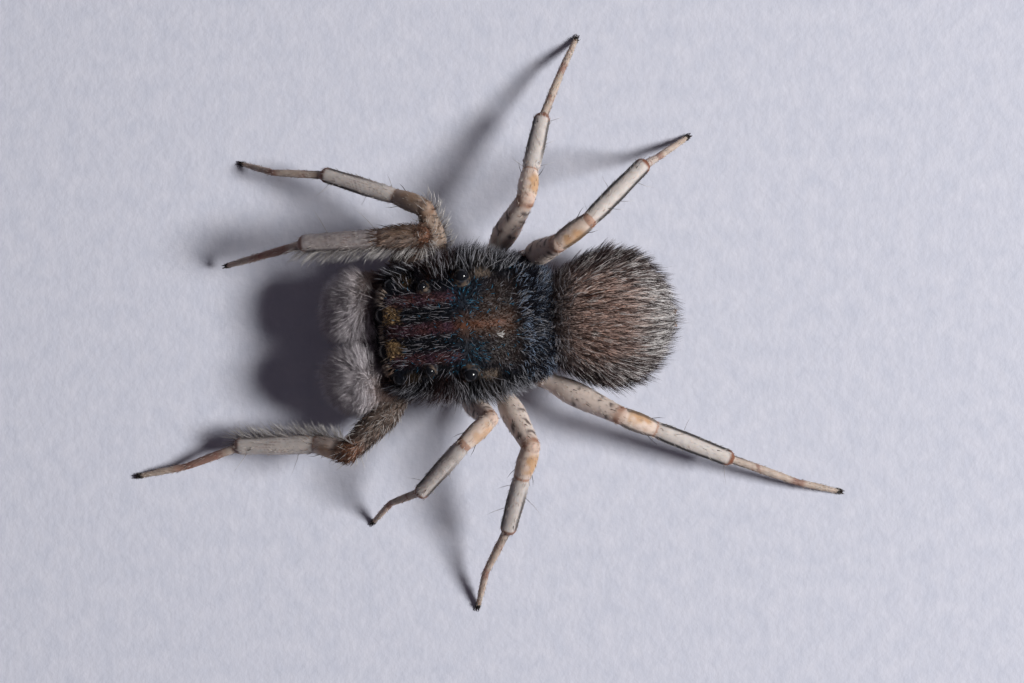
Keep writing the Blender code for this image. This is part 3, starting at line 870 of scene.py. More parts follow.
def hair_template(shares):
    """One hair's faces as a list of its points, where each face starts, and their places in its patch."""
    corners, starts, patch = [], [], []
    tip = len(shares) * HAIR_SIDES
    shares = (*shares, 1.0)

    def add(face, marks):
        starts.append(len(corners))
        corners.extend(face)
        patch.extend(marks)

    for ring in range(len(shares) - 1):
        for i in range(HAIR_SIDES):
            j = (i + 1) % HAIR_SIDES
            left, right = i / HAIR_SIDES, (i + 1) / HAIR_SIDES
            a, b = ring * HAIR_SIDES, (ring + 1) * HAIR_SIDES
            low, high = shares[ring], shares[ring + 1]
            if b < tip:
                add((a + i, a + j, b + j, b + i), ((left, low), (right, low), (right, high), (left, high)))
            else:
                add((a + i, a + j, tip), ((left, low), (right, low), ((left + right) / 2, high)))
    add((2, 1, 0), ((1.0, 0.0), (0.5, 0.05), (0.0, 0.0)))
    return np.array(corners), np.array(starts), np.array(patch)


class Hairs:
    """Many hairs as arrays: each one's three control points, width, two colours and place in the unwrap."""

    def __init__(self, control, out, width, root_tint, tip_tint, place):
        self.control, self.out, self.width = control, out, width
        self.root_tint, self.tip_tint, self.place = root_tint, tip_tint, place

    def kept(self, keep):
        return Hairs(self.control[keep], self.out[keep], self.width[keep], self.root_tint[keep],
                     self.tip_tint[keep], self.place[keep])

    def curve(self, share):
        a, b, c = self.control[:, 0], self.control[:, 1], self.control[:, 2]
        return (1 - share) ** 2 * a + 2 * share * (1 - share) * b + share**2 * c

    def count(self):
        return len(self.width)


def joined(groups):
    fields = ("control", "out", "width", "root_tint", "tip_tint", "place")
    return Hairs(*(np.concatenate([getattr(g, field) for g in groups]) for field in fields))


def coat_piece(name, hairs, material, kind=LONG_HAIR):
    """One mesh of all these hairs, with an unwrap that gives each hair its own patch."""
    n, (shares, widths) = hairs.count(), kind
    per_hair = len(shares) * HAIR_SIDES + 1
    points = np.empty((n, per_hair, 3))
    tints = np.empty((n, per_hair, 3))
    for ring, (share, width) in enumerate(zip(shares, widths)):
        ahead = unit(hairs.curve(share + 0.02) - hairs.curve(share - 0.02))
        across = unit(np.cross(ahead, hairs.out))
        above = np.cross(across, ahead)
        for i in range(HAIR_SIDES):
            turn = math.tau * i / HAIR_SIDES
            spread = (across * math.cos(turn) - above * math.sin(turn)) * (hairs.width * width / 2)[:, None]
            points[:, ring * HAIR_SIDES + i] = hairs.curve(share) + spread
            tints[:, ring * HAIR_SIDES + i] = mix(hairs.root_tint, hairs.tip_tint, np.full(n, share))
    points[:, -1] = hairs.curve(1.0)
    tints[:, -1] = hairs.tip_tint
    points[..., 2] = np.maximum(points[..., 2], 0.0)
    corners, starts, patch = hair_template(shares)
    offsets = np.arange(n)[:, None]
    mesh = bpy.data.meshes.new(name)
    mesh.vertices.add(n * per_hair)
    mesh.vertices.foreach_set("co", (points * MM).astype(np.float32).ravel())
    mesh.loops.add(n * len(corners))
    mesh.loops.foreach_set("vertex_index", (corners + offsets * per_hair).astype(np.int32).ravel())
    mesh.polygons.add(n * len(starts))
    mesh.polygons.foreach_set("loop_start", (starts + offsets * len(corners)).astype(np.int32).ravel())
    mesh.polygons.foreach_set("use_smooth", np.ones(n * len(starts), bool))
    mesh.update(calc_edges=True)
    low = np.clip(hairs.place - PATCH / 2, 0.0, 1.0 - PATCH)
    unwrap = mesh.uv_layers.new(name="OFBake")
    unwrap.data.foreach_set("uv", (low[:, None] + patch * PATCH).astype(np.float32).ravel())
    set_tint(mesh, tints.reshape(-1, 3))
    mesh.materials.append(material)
    return new_piece(name, mesh)


class Barber:
    """Roots hairs in the skin and keeps them off the eyes."""

    def __init__(self, skin_tree, head):
        self.tree = skin_tree
        self.eyes = []
        for name, look in EYE_LOOKS.items():
            for side in SIDES:
                ways = [unit(head.way(mirrored(look, side)))] + [UP] * name.startswith("rear")
                self.eyes.append((*eye_place(name, side), ways))

    def scatter(self, surface, count, weight):
        """Shares (round, along) of count places, even over the surface's area times the weight."""
        steps = SCATTER_STEPS
        u, v = np.meshgrid((np.arange(steps) + 0.5) / steps, (np.arange(steps) + 0.5) / steps)
        step = 0.5 / steps
        wide = surface.at(u + step, v) - surface.at(u - step, v)
        deep = surface.at(u, v + step) - surface.at(u, v - step)
        share = np.linalg.norm(np.cross(wide, deep), axis=-1)
        if weight is not None:
            share = share * np.maximum(weight(surface.at(u, v)), 0)
        total = np.cumsum(share.ravel())
        picks = np.searchsorted(total, (np.arange(count) + RANDOM.random(count)) * total[-1] / count)
        picks = np.minimum(picks, steps * steps - 1)
        jitter = (RANDOM.random((2, count)) - 0.5) / steps
        return u.ravel()[picks] + jitter[0], v.ravel()[picks] + jitter[1]

    def rooted(self, points):
        """The nearest places on the skin, the way out of it there, and which points have one within reach."""
        places, ways, near = np.empty_like(points), np.empty_like(points), np.zeros(len(points), bool)
        for i, point in enumerate(points.tolist()):
            place, way, _, far = self.tree.find_nearest(Vector(point))
            places[i], ways[i], near[i] = place, way, far < ROOT_REACH
        return places, ways, near

    def grow(self, surface, name, lie, tints, weight=None, longer=None, steeper=None, area=None):
        """Hairs of a named style on a surface, denser where the weight is higher.

        The other functions take the roots. lie gives the way that hair lies, tints its colours at the root
        and the tip, and longer and steeper what its length and its lift gain.
        """
        style = STYLES[name]
        u, v = self.scatter(surface, style.count if area is None else int(style.count * area), weight)
        roots, outs, near = self.rooted(surface.at(u, v))
        roots, outs, u, v = roots[near], outs[near], u[near], v[near]
        n = len(roots)
        lying = lie(roots)
        lying = unit(lying - (lying * outs).sum(-1, keepdims=True) * outs)
        beside = np.cross(outs, lying)
        turn = RANDOM.normal(0, style.sway, n)[:, None]
        lying = lying * np.cos(turn) + beside * np.sin(turn)
        long = (style.length + (longer(roots) if longer else 0.0)) * RANDOM.uniform(*VARY["length"], n)
        lift = style.lift + (steeper(roots) if steeper else 0.0)
        rise = np.radians(lift * RANDOM.uniform(*VARY["lift"], n))
        fall = rise - math.radians(style.droop)
        first = lying * np.cos(rise)[:, None] + outs * np.sin(rise)[:, None]
        bend = RANDOM.normal(0, style.sway * 0.8, n)[:, None]
        second_lying = lying * np.cos(bend) + beside * np.sin(bend)
        second = second_lying * np.cos(fall)[:, None] + outs * np.sin(fall)[:, None]
        middle = roots + first * long[:, None] * 0.5
        tip = middle + second * long[:, None] * 0.5
        sunk = roots - outs * ROOT_DEPTH
        root_tint, tip_tint = tints(roots)
        if style.clump:
            spacing, pull, alike = style.clump
            leader = self.leaders(roots, spacing)
            tip = tip + (tip[leader] - tip) * pull * RANDOM.uniform(*VARY["pull"], n)[:, None]
            follows = (RANDOM.random(n) < alike)[:, None]
            root_tint = np.where(follows, root_tint[leader], root_tint)
            tip_tint = np.where(follows, tip_tint[leader], tip_tint)
        light = RANDOM.uniform(*VARY["light"], n)[:, None]
        hairs = Hairs(np.stack((sunk, middle, tip), 1), outs, style.width * RANDOM.uniform(*VARY["width"], n),
                      root_tint * light, tip_tint * light, surface.unwrapped(u, v))
        return hairs.kept(self.clear_of_eyes(hairs) & (hairs.curve(1.0)[:, 2] < TOP_OF_COAT))

    def leaders(self, roots, spacing):
        """For each hair, the one that its little group gathers round."""
        tree = KDTree(len(roots))
        for i, root in enumerate(roots.tolist()):
            tree.insert(root, i)
        tree.balance()
        leader_of = np.full(len(roots), -1)
        for i in RANDOM.permutation(len(roots)):
            if leader_of[i] < 0:
                for _, j, _ in tree.find_range(roots[i], spacing):
                    if leader_of[j] < 0:
                        leader_of[j] = i
        return leader_of

    def clear_of_eyes(self, hairs):
        clear = np.ones(hairs.count(), bool)
        for share in (0.0, 0.25, 0.5, 0.75, 1.0):
            points = hairs.curve(share)
            for centre, radius, ways in self.eyes:
                offset = points - centre
                clear &= np.linalg.norm(offset, axis=1) > radius * BARE_ROUND_EYES
                for way in ways:
                    ahead = offset @ way
                    beside = np.linalg.norm(offset - ahead[:, None] * way, axis=1)
                    clear &= (ahead < 0) | (ahead > radius * CLEAR_AHEAD) | (beside > radius * CLEAR_BESIDE)
        return clear

    def eye_room(self, points, reach):
        """0 at an eye's rim, 1 from reach radii on."""
        room = np.ones(points.shape[:-1])
        for centre, radius, _ in self.eyes:
            far = np.linalg.norm(points - centre, axis=-1) / radius
            room = np.minimum(room, soft(far, 1.0, reach))
        return room


def two_tone(marks, dark, light, light_share, blend=0.35, tip=1.0, root=1.0):
    """Colours for hairs that are dark or light at random and take some of the marking under them."""
    def tints(points):
        base = marks(points)
        share = light_share(points) if callable(light_share) else light_share
        pale = RANDOM.random(len(points)) < share
        own = np.where(pale[:, None], light, dark)
        colour = mix(own, base, np.full(len(points), blend))
        return colour * root, colour * tip
    return tints


def plain_hair(root, tip):
    """The same colours for every hair."""
    return lambda points: (np.broadcast_to(root, points.shape), np.broadcast_to(tip, points.shape))


def one_way(way):
    """All hair lying one way."""
    return lambda points: np.broadcast_to(way, points.shape)


def coat_of_carapace(barber, head, surface):
    """Short down all over, and apart from it the fringes, bristles and tufts that stand out of it."""
    marks = head_marks(head)

    def lie(points):
        x, y, _ = head.axes(points)
        front = (1 - soft(y, -0.75, -0.35)) * (1 - soft(abs(x), 0.60, 0.85))
        side, rear = soft(abs(x), 0.55, 0.85), soft(y, 0.0, 0.35)
        way = mix(vectors(0.5 * x, 0.6, 0.0), vectors(0.25 * x, -1.0, 0.0), front)
        way = mix(way, vectors(np.sign(x), 0.15 + 0.3 * y, -0.05), side)
        return head.way(mix(way, vectors(1.1 * x, 1.0, -0.2), rear * (1 - 0.5 * side)))

    def back_to(points, low, high):
        """0 ahead of low, 1 behind high."""
        return soft(head.axes(points)[1], low, high)

    def edge(points):
        """How near the flanks and the rear slope."""
        return np.maximum(soft(abs(head.axes(points)[0]), 0.76, 0.96), back_to(points, 0.15, 0.60))

    def steeper(points):
        """Where the skin turns down, hair lifts more, so that it points away from the body."""
        return 38 * np.maximum(soft(abs(head.axes(points)[0]), 0.84, 1.0), back_to(points, 0.35, 0.75))

    def on_top(points):
        return soft(head.axes(points)[2], 1.0, 1.2)

    def hairy(points):
        """Less hair on the bald patches behind the rear eyes, the brown stripe and the tan patches."""
        x, y, _ = head.axes(points)
        bald = 0.9 * band(abs(x), 0.80, 1.0, 0.06) * band(y, -0.30, 0.0, 0.05)
        stripe = 0.5 * band(abs(x), -0.2, 0.11, 0.06) * band(y, -0.60, 0.30, 0.10)
        patches = 0.4 * band(abs(x), 0.17, 0.43, 0.05) * band(y, -1.95, -1.60, 0.06)
        return on_top(points) * (1 - np.maximum(bald, np.maximum(stripe, patches)))

    def down_tints(points):
        p, n = head.back(points), len(points)
        base, draw = marks(points), RANDOM.random(n)[:, None]
        colour = np.where(draw > 0.45, base * 1.25, base * 0.45)
        colour = np.where(draw > 0.93, base * 1.5 + ICE * 0.45, colour)
        blue = (RANDOM.random(n) < 0.18 * sky(p) + 0.02)[:, None]
        colour = np.where(blue, BLUE_HAIR * RANDOM.uniform(0.4, 1.1, (n, 1)), colour)
        tan = (RANDOM.random(n) < 0.6 * tan_patch(p))[:, None]
        colour = np.where(tan, TAN_HAIR * RANDOM.uniform(0.7, 1.4, (n, 1)), colour)
        return colour * 0.7, colour * 1.2

    def fringe_light(points):
        x, y, _ = head.axes(points)
        flanks = 0.36 * soft(abs(x), 0.80, 0.98) * (1 - 0.5 * soft(y, 0.2, 0.6))
        return 0.14 + flanks + 0.06 * soft(y, 0.3, 0.6)

    def bristle_place(points):
        p = head.back(points)
        x, y, z = np.moveaxis(p, -1, 0)
        rows = band(abs(x), 0.10, 0.40, 0.05) + 0.8 * band(abs(x), 0.60, 0.76, 0.04) + 0.12
        brows = sum(spot(p, (at, -1.58), (0.07, 0.22)) for at in (-0.52, 0.0, 0.52))
        wanted = (rows * band(y, -1.48, -0.62, 0.08) + 1.6 * brows) * soft(z, 1.6, 1.75)
        return wanted * barber.eye_room(points, 1.6)

    def brow_place(points):
        return sum(spot(head.back(points), (at, -1.60), (0.13, 0.13)) for at in (-0.80, 0.80))

    def tuft_place(points):
        return spot(head.back(points), TUFT_AT, (0.035, 0.035))

    down = barber.grow(surface, "head down", lie, down_tints, longer=lambda p: 0.03 * edge(p),
                       weight=lambda p: hairy(p) * (0.2 + barber.eye_room(p, 1.5)))
    fringe = barber.grow(surface, "head fringe", lie, two_tone(marks, INK, ICE, fringe_light, 0.2, 1.9, 0.35),
                         weight=lambda p: hairy(p) * barber.eye_room(p, 2.0) * (0.05 + edge(p)),
                         longer=lambda p: (0.50 - 0.29 * back_to(p, -0.7, 0.3)) * edge(p), steeper=steeper)
    collar = barber.grow(surface, "collar", lie, two_tone(marks, INK, COLLAR_BLUE, 0.40, 0.2, 2.4, 0.35),
                         weight=lambda p: on_top(p) * back_to(p, 0.35, 0.70),
                         longer=lambda p: 0.24 * back_to(p, 0.6, 0.85))
    bristles = barber.grow(surface, "bristles", lie, two_tone(marks, BLACK, BRISTLE_GREY, 0.4, 0.1, 1.2),
                           bristle_place)
    brows = barber.grow(surface, "brows", lie, two_tone(marks, INK, BRISTLE_GREY, 0.25, 0.1, 1.2), brow_place)
    tuft = barber.grow(surface, "white tuft", lie, plain_hair(WHITE_HAIR, WHITE_HAIR), tuft_place)
    return down, joined((fringe, collar, bristles, brows, tuft))


def coat_of_abdomen(barber, waist, surface):
    """Short down all over, and apart from it the long hair that shows as streaks and breaks the outline."""
    def marks(points):
        return abdomen_marks(waist.back(points))

    def lie(points):
        x, y, z = waist.axes(points)
        fan = abs(x) * (1.45 - 0.72 * y)
        return vectors(x * fan, 1.0, (z - 1.15) * 0.25 * (1.4 - y))

    def flank(points):
        x, y, _ = waist.axes(points)
        return soft(np.hypot(x / 0.94, np.maximum(y - 0.95, 0) / 0.98), 0.68, 0.98)

    def on_top(points):
        return 0.18 + soft(waist.axes(points)[2], 0.85, 1.25)

    def behind(points):
        return soft(waist.axes(points)[1], 0.15, 0.65)

    def front(points):
        _, y, z = waist.axes(points)
        return (1 - soft(y, 0.20, 0.55)) * soft(z, 0.85, 1.2)

    def down_tints(points):
        base, draw = marks(points), RANDOM.random(len(points))[:, None]
        colour = np.where(draw > 0.80, base * 1.3 + 0.02, np.where(draw > 0.2, base, base * 0.5))
        return colour * 0.85, colour * 1.2

    def rear_pale(points):
        x, y, _ = waist.axes(points)
        return 0.50 + 0.40 * soft(y, 1.1, 1.6) * (1 - soft(abs(x), 0.45, 0.85))

    def grow(name, tints, weight, gain=0.0):
        """Hair that lifts more on the sides and the rear, where the coat breaks the outline."""
        return barber.grow(surface, name, lie, tints, weight, longer=lambda p: gain * flank(p),
                           steeper=lambda p: 20 * flank(p))

    down = barber.grow(surface, "abdomen down", lie, down_tints, on_top, longer=lambda p: 0.05 * flank(p))
    mat = grow("mat", two_tone(marks, STREAK, MAT_PALE, 0.84, 0.5, 1.1),
               lambda p: on_top(p) * (0.3 + behind(p)), gain=0.10)
    streaks = grow("streaks", two_tone(marks, STREAK * 0.5, STREAK, 0.5, 0.1, 0.8), on_top)
    fringe = grow("dark fringe", two_tone(marks, BLACK, STREAK, 0.5, 0.05, 0.9),
                  lambda p: flank(p) * on_top(p) * (1.15 - rear_pale(p)), gain=0.22)
    pale_fringe = grow("pale fringe", two_tone(marks, FRINGE_DUSK, FRINGE_PALE, rear_pale, 0.1, 1.05),
                       lambda p: (0.1 + flank(p)) * on_top(p) * behind(p), gain=0.18)
    ruff = barber.grow(surface, "ruff", lambda p: vectors(1.2 * waist.axes(p)[0], 0.5, 0.4),
                       two_tone(marks, INK, RUFF_GREY, 0.5, 0.2, 1.7, 0.6), front)
    return down, joined((mat, streaks, fringe, pale_fringe, ruff))


def coat_of_palps(barber, head, surfaces):
    """Long pale hair that fans out in front of each palp, and short brown hair on the palp's own top."""
    def fore(points, back=1.98, front=2.26):
        return soft(-head.axes(points)[1], back, front)

    def tints(points):
        n = len(points)
        colour = np.where(RANDOM.random(n)[:, None] > 0.5, PALP_PALE, PALP_GREY)
        colour = mix(PALP_BROWN, colour, 0.15 + 0.85 * fore(points))
        return mix(PALP_BROWN, colour, np.full(n, 0.7)), colour

    def long(points):
        """Hair ends at one line ahead of the palps, and is short underneath."""
        ahead = np.clip(points[..., 1] - PALP_FRINGE, 0.14, 0.66)
        return ahead * (0.40 + 0.60 * fore(points)) * (0.35 + 0.65 * soft(points[..., 2], 0.78, 1.04))

    def flatter(points):
        """Hair lies lower on the palp's top."""
        return -30 * soft(points[..., 2], 0.98, 1.18)

    groups = []
    for side, sign in SIDES.items():
        def lie(points, sign=sign):
            x, _, z = head.axes(points)
            fan = np.clip((x * sign - 0.62) / 0.34, -1, 1) * 0.95
            return head.way(vectors(fan * sign, -1.0, 0.90 - 0.88 * soft(z, 0.96, 1.16)))

        fans = barber.grow(surfaces["palp", side], "palp fan", lie, tints,
                           lambda p: (0.3 + fore(p)) * (0.10 + soft(p[..., 2], 0.74, 1.08)), long, flatter)
        inward = head.way(np.array((-sign, -0.9, 0.35)))
        crossing = barber.grow(surfaces["palp", side], "palp crossing", one_way(inward), tints,
                               lambda p: soft(p[..., 2], 0.94, 1.08) * fore(p, 1.95, 2.2))
        groups.append(joined((fans, crossing)))
    return groups


def coat_of_face(barber, head, surfaces):
    """Pale hair below the eyes and down the jaws, and a veil of longer hair ahead of the mouth."""
    def tints(points):
        colour = mix(FACE_BROWN, FACE_PALE, RANDOM.random(len(points)))
        return colour * 0.8, colour * 1.1

    def down_face(points):
        return head.way(vectors(0.2 * head.axes(points)[0], -0.35, -1.0))

    def ahead(points):
        return head.way(vectors(0.25 * head.axes(points)[0], -1.0, 0.1))

    def below_the_eyes(points):
        _, y, z = head.axes(points)
        return (1 - soft(y, -1.90, -1.72)) * (z < 1.75)

    def mouth(points):
        return spot(head.back(points), (0.0, -1.95, 1.05), (0.62, 0.30, 0.42), 0.1)

    jaws = [("chelicera", side) for side in SIDES]
    groups = [barber.grow(surfaces[jaw], "jaw", down_face, tints) for jaw in jaws]
    groups.append(barber.grow(surfaces["carapace"], "below the eyes", down_face, tints, below_the_eyes))
    veil_tints = two_tone(plain_marks(VEIL_DUSK), VEIL_DUSK, VEIL_MAUVE, 0.6)
    for where, style in (*((jaw, "jaw veil") for jaw in jaws), ("carapace", "face veil")):
        groups.append(barber.grow(surfaces[where], style, ahead, veil_tints, mouth))
    return joined(groups)


LIGHT_LEG_HAIR = {"femur": 0.86, "patella": 0.80, "tibia": 0.96, "metatarsus": 0.62, "tarsus": 0.50}
PLUMED_FEMORA = {("right", 1): "few plumes", ("right", 2): "plumes"}


def coat_of_leg(barber, segment):
    """Short hair along one leg segment, with the front legs' thicker brown coat and pale fringes."""
    kind, pair, side = segment.segment, segment.pair, segment.side
    whole_area = math.tau * float(segment.radii.mean()) * segment.length
    lie = one_way(unit(segment.end - segment.start))
    white = plain_hair(GREY_HAIR, WHITE_HAIR * 1.1)
    rear_side = 1 if side == "right" else -1
    groups = []

    def add(style, tints, weight=None, area=whole_area):
        groups.append(barber.grow(segment, style, lie, tints, weight, area=area))

    def marks(points):
        return leg_marks(segment, points)

    def rear(points):
        _, top, out = segment.place(points)
        return soft(out * rear_side, 0.1, 0.6) + 0.2 * soft(top, 0.2, 0.8)

    def inner(points):
        _, top, out = segment.place(points)
        return soft(-out * rear_side, 0.35, 0.8) * (1 - soft(top, 0.3, 0.7))

    if pair == 1 and kind in ("femur", "patella"):
        brown = kind == "femur" or side == "right"
        light_hair = 0.35 if side == "right" else 0.22
        add("brown coat" if brown else "thin brown coat",
            two_tone(marks, BROWN_LEG * 0.35, LEG_TAN, light_hair, 0.4, 1.1))
        if side == "left" and brown:
            add("white guard", white)
    if kind == "femur" and (side, pair) in PLUMED_FEMORA:
        add(PLUMED_FEMORA[side, pair], white, rear)
    if pair == 1 and kind in ("patella", "tibia"):
        add("inner fringe", white, inner)
    if kind == "tibia":
        add("long feelers" if pair == 1 else "feelers", white, area=None)
    add(kind, two_tone(marks, LEG_LINE, LEG_PALE, LIGHT_LEG_HAIR[kind], 0.45, 1.05))
    if kind == "tarsus":
        add("toe", plain_hair(BLACK, TOE_TIP), lambda p: soft(segment.place(p)[0], 0.86, 0.92), area=None)
    return joined(groups)


SPINES = {
    # share along the segment and turns round it (0.25 is the top) of each dark spine
    "femur": ((0.42, 0.31), (0.60, 0.20), (0.72, 0.34), (0.80, 0.17), (0.90, 0.28)),
    "patella": ((0.80, 0.47), (0.78, 0.03)),
    "tibia": ((0.86, 0.32),),
}
SPINE_LENGTH = {"femur": 0.16, "patella": 0.27, "tibia": 0.12}
SPINE_WIDTH, SPINE_DEPTH = 0.014, 0.02
SPINE_RISE = (0.90, 0.42), (0.98, 0.20)  # how far each half goes along the leg and out of it, for its length


def leg_spines(segments):
    groups = []
    for segment in segments:
        if segment.segment not in SPINES:
            continue
        places = np.array(SPINES[segment.segment])
        n = len(places)
        v = np.clip(places[:, 0] + RANDOM.normal(0, 0.02, n), 0.05, 0.97)
        u = places[:, 1] + RANDOM.normal(0, 0.015, n)
        roots = segment.at(u, segment.on_limb(v))
        middle = segment.start + (segment.end - segment.start) * v[:, None]
        outs = unit(roots - middle)
        way = unit(segment.end - segment.start)
        long = SPINE_LENGTH[segment.segment] * RANDOM.uniform(0.85, 1.1, n)[:, None]
        line = [roots - outs * SPINE_DEPTH]
        tip = roots
        for ahead, up in SPINE_RISE:
            tip = tip + (way * ahead + outs * up) * long * 0.5
            line.append(tip)
        dark = np.broadcast_to(LEG_LINE * 0.6, roots.shape)
        groups.append(Hairs(np.stack(line, 1), outs, np.full(n, SPINE_WIDTH), dark, dark,
                            segment.unwrapped(u, v)))
    return joined(groups)


# ---------------------------------------------------------------- materials

def new_material(name):
    material = bpy.data.materials.new(name)
    material.use_nodes = True
    nodes, links = material.node_tree.nodes, material.node_tree.links
    return material, nodes, links, nodes["Principled BSDF"]


def add_node(nodes, kind, **inputs):
    node = nodes.new(kind)
    for name, value in inputs.items():
        node.inputs[name.replace("_", " ")].default_value = value
    return node


def noise_of(nodes, links, size, detail=3.0):
    """Noise whose blotches are about size millimetres across."""
    place = nodes.new("ShaderNodeTexCoord")
    noise = add_node(nodes, "ShaderNodeTexNoise", Scale=1 / (size * MM), Detail=detail, Roughness=0.55)
    links.new(place.outputs["Object"], noise.inputs["Vector"])
    return noise


def ranged(nodes, links, source, low, high):
    spread = add_node(nodes, "ShaderNodeMapRange")
    spread.inputs["To Min"].default_value, spread.inputs["To Max"].default_value = low, high
    links.new(source, spread.inputs["Value"])
    return spread.outputs["Result"]


def tinted_material(name, grain, shade, rough, bump=None, specular=0.5, flesh=0.0):
    """A surface in the piece's own tint. Noise of a grain in millimetres varies its shade and roughness.

    bump is the size and the depth of its relief in millimetres, and flesh how much light goes into it.
    """
    material, nodes, links, shader = new_material(name)
    tint = nodes.new("ShaderNodeAttribute")
    tint.attribute_name = "tint"
    noise = noise_of(nodes, links, grain)
    vary = nodes.new("ShaderNodeMix")
    vary.data_type, vary.blend_type = "RGBA", "MULTIPLY"
    vary.inputs["Factor"].default_value = 1.0
    links.new(tint.outputs["Color"], vary.inputs["A"])
    links.new(ranged(nodes, links, noise.outputs["Fac"], *shade), vary.inputs["B"])
    links.new(vary.outputs["Result"], shader.inputs["Base Color"])
    links.new(ranged(nodes, links, noise.outputs["Fac"], *rough), shader.inputs["Roughness"])
    shader.inputs["Specular IOR Level"].default_value = specular
    if bump:
        relief(nodes, links, shader, *bump, strength=0.6, detail=2.0)
    if flesh:
        shader.inputs["Subsurface Weight"].default_value = flesh
        shader.inputs["Subsurface Radius"].default_value = (1.0, 0.7, 0.5)
        shader.inputs["Subsurface Scale"].default_value = 0.16 * MM
    return material


def ramp_of(nodes, links, noise, dark, light):
    """Colours from dark to light by a noise."""
    ramp = nodes.new("ShaderNodeValToRGB")
    for stop, colour in zip(ramp.color_ramp.elements, (dark, light)):
        stop.color = (*colour, 1)
    links.new(noise.outputs["Fac"], ramp.inputs["Fac"])
    return ramp


def relief(nodes, links, shader, size, depth, strength, detail):
    """Fine grain of a size and depth in millimetres, as bump."""
    fine = noise_of(nodes, links, size, detail)
    raised = add_node(nodes, "ShaderNodeBump", Strength=strength, Distance=depth * MM)
    links.new(fine.outputs["Fac"], raised.inputs["Height"])
    links.new(raised.outputs["Normal"], shader.inputs["Normal"])


def eye_material():
    material, nodes, links, shader = new_material("eye_gloss")
    ramp = ramp_of(nodes, links, noise_of(nodes, links, 0.12), (0.002, 0.003, 0.005), (0.012, 0.013, 0.016))
    links.new(ramp.outputs["Color"], shader.inputs["Base Color"])
    shader.inputs["Roughness"].default_value = 0.05
    shader.inputs["Specular IOR Level"].default_value = 0.35
    return material


def floor_material():
    material, nodes, links, shader = new_material("paper")
    ramp = ramp_of(nodes, links, noise_of(nodes, links, 0.33, 6.0), (0.550, 0.573, 0.676),
                   (0.625, 0.638, 0.733))
    ramp.color_ramp.elements[0].position, ramp.color_ramp.elements[1].position = 0.3, 0.7
    links.new(ramp.outputs["Color"], shader.inputs["Base Color"])
    shader.inputs["Roughness"].default_value = 0.9
    relief(nodes, links, shader, size=0.14, depth=0.03, strength=0.35, detail=3.0)
    return material


# ---------------------------------------------------------------- eyes, fangs and claws

def smooth_mesh(name, points, faces, material):
    mesh = bpy.data.meshes.new(name)
    mesh.from_pydata((points * MM).tolist(), [], faces)
    mesh.polygons.foreach_set("use_smooth", [True] * len(faces))
    mesh.materials.append(material)
    return mesh


def smooth_ball(name, centre, radius, material):
    segments, rings = EYEBALL["segments"], EYEBALL["rings"]
    angles = np.linspace(0, math.pi, rings + 1)[1:-1]
    turns = np.arange(segments) * math.tau / segments
    points = [(0.0, 0.0, 1.0)]
    points += [(math.sin(a) * math.cos(t), math.sin(a) * math.sin(t), math.cos(a))
               for a in angles for t in turns]
    points.append((0.0, 0.0, -1.0))
    faces = []
    for i in range(segments):
        j = (i + 1) % segments
        faces.append((0, 1 + i, 1 + j))
        for row in range(rings - 2):
            a, b = 1 + row * segments, 1 + (row + 1) * segments
            faces.append((a + i, b + i, b + j, a + j))
        last = 1 + (rings - 2) * segments
        faces.append((last + j, last + i, len(points) - 1))
    piece = new_piece(name, smooth_mesh(name, np.array(points) * radius, faces, material))
    piece.location = centre * MM
    return piece


def make_eyes(material):
    for side in SIDES:
        for name in EYE_LOOKS:
            centre, radius = eye_place(name, side)
            piece = smooth_ball(f"eyeball_{name}_{side}", centre, radius * EYEBALL["fit"], material)
            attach(piece, "root")
            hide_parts(f"eye_{name}_{side}")


CLAW = {"length": 0.075, "radius": 0.011, "spread": 0.035, "hook": 0.030, "arch": 0.012, "splay": 0.008}
CLAW_START = 0.03  # past the end of the toe's middle line
CLAW_LOWEST = 0.012  # about its own radius above the floor


def claw_lines(segment):
    """Two small hooked claws past each toe."""
    way = unit((segment.end - segment.start) * (1, 1, 0.3))
    out = np.cross(way, UP)
    for sign in (-1, 1):
        start = segment.end + way * CLAW_START + out * sign * CLAW["spread"] * 0.5
        knee = start + way * CLAW["length"] * 0.6 + UP * CLAW["arch"] + out * sign * CLAW["splay"]
        tip = knee + way * CLAW["length"] * 0.35 - UP * CLAW["hook"]
        line = np.array((start, knee, tip))
        line[:, 2] = np.maximum(line[:, 2], CLAW_LOWEST)
        yield line


def make_hard_parts(head, segments, material):
    """Fangs and claws in one mesh."""
    points, faces, start = [], [], 0
    limbs = [Limb(head.out(mirrored(FANG["spine"], side)), FANG["radii"]) for side in SIDES]
    for segment in segments:
        if segment.segment == "tarsus":
            r = CLAW["radius"]
            limbs += [Limb(line, (r, r * 0.8, r * 0.25)) for line in claw_lines(segment)]
    for limb in limbs:
        more, rings = shell_of(limb, *MESH_STEPS["hard"])
        points.append(more)
        faces += [tuple(start + i for i in face) for face in rings]
        start += len(more)
    mesh = smooth_mesh("fangs_and_claws", np.concatenate(points), faces, material)
    set_tint(mesh, np.tile(CLAW_BROWN, (start, 1)))
    return new_piece("fangs_and_claws", mesh)


# ---------------------------------------------------------------- stage

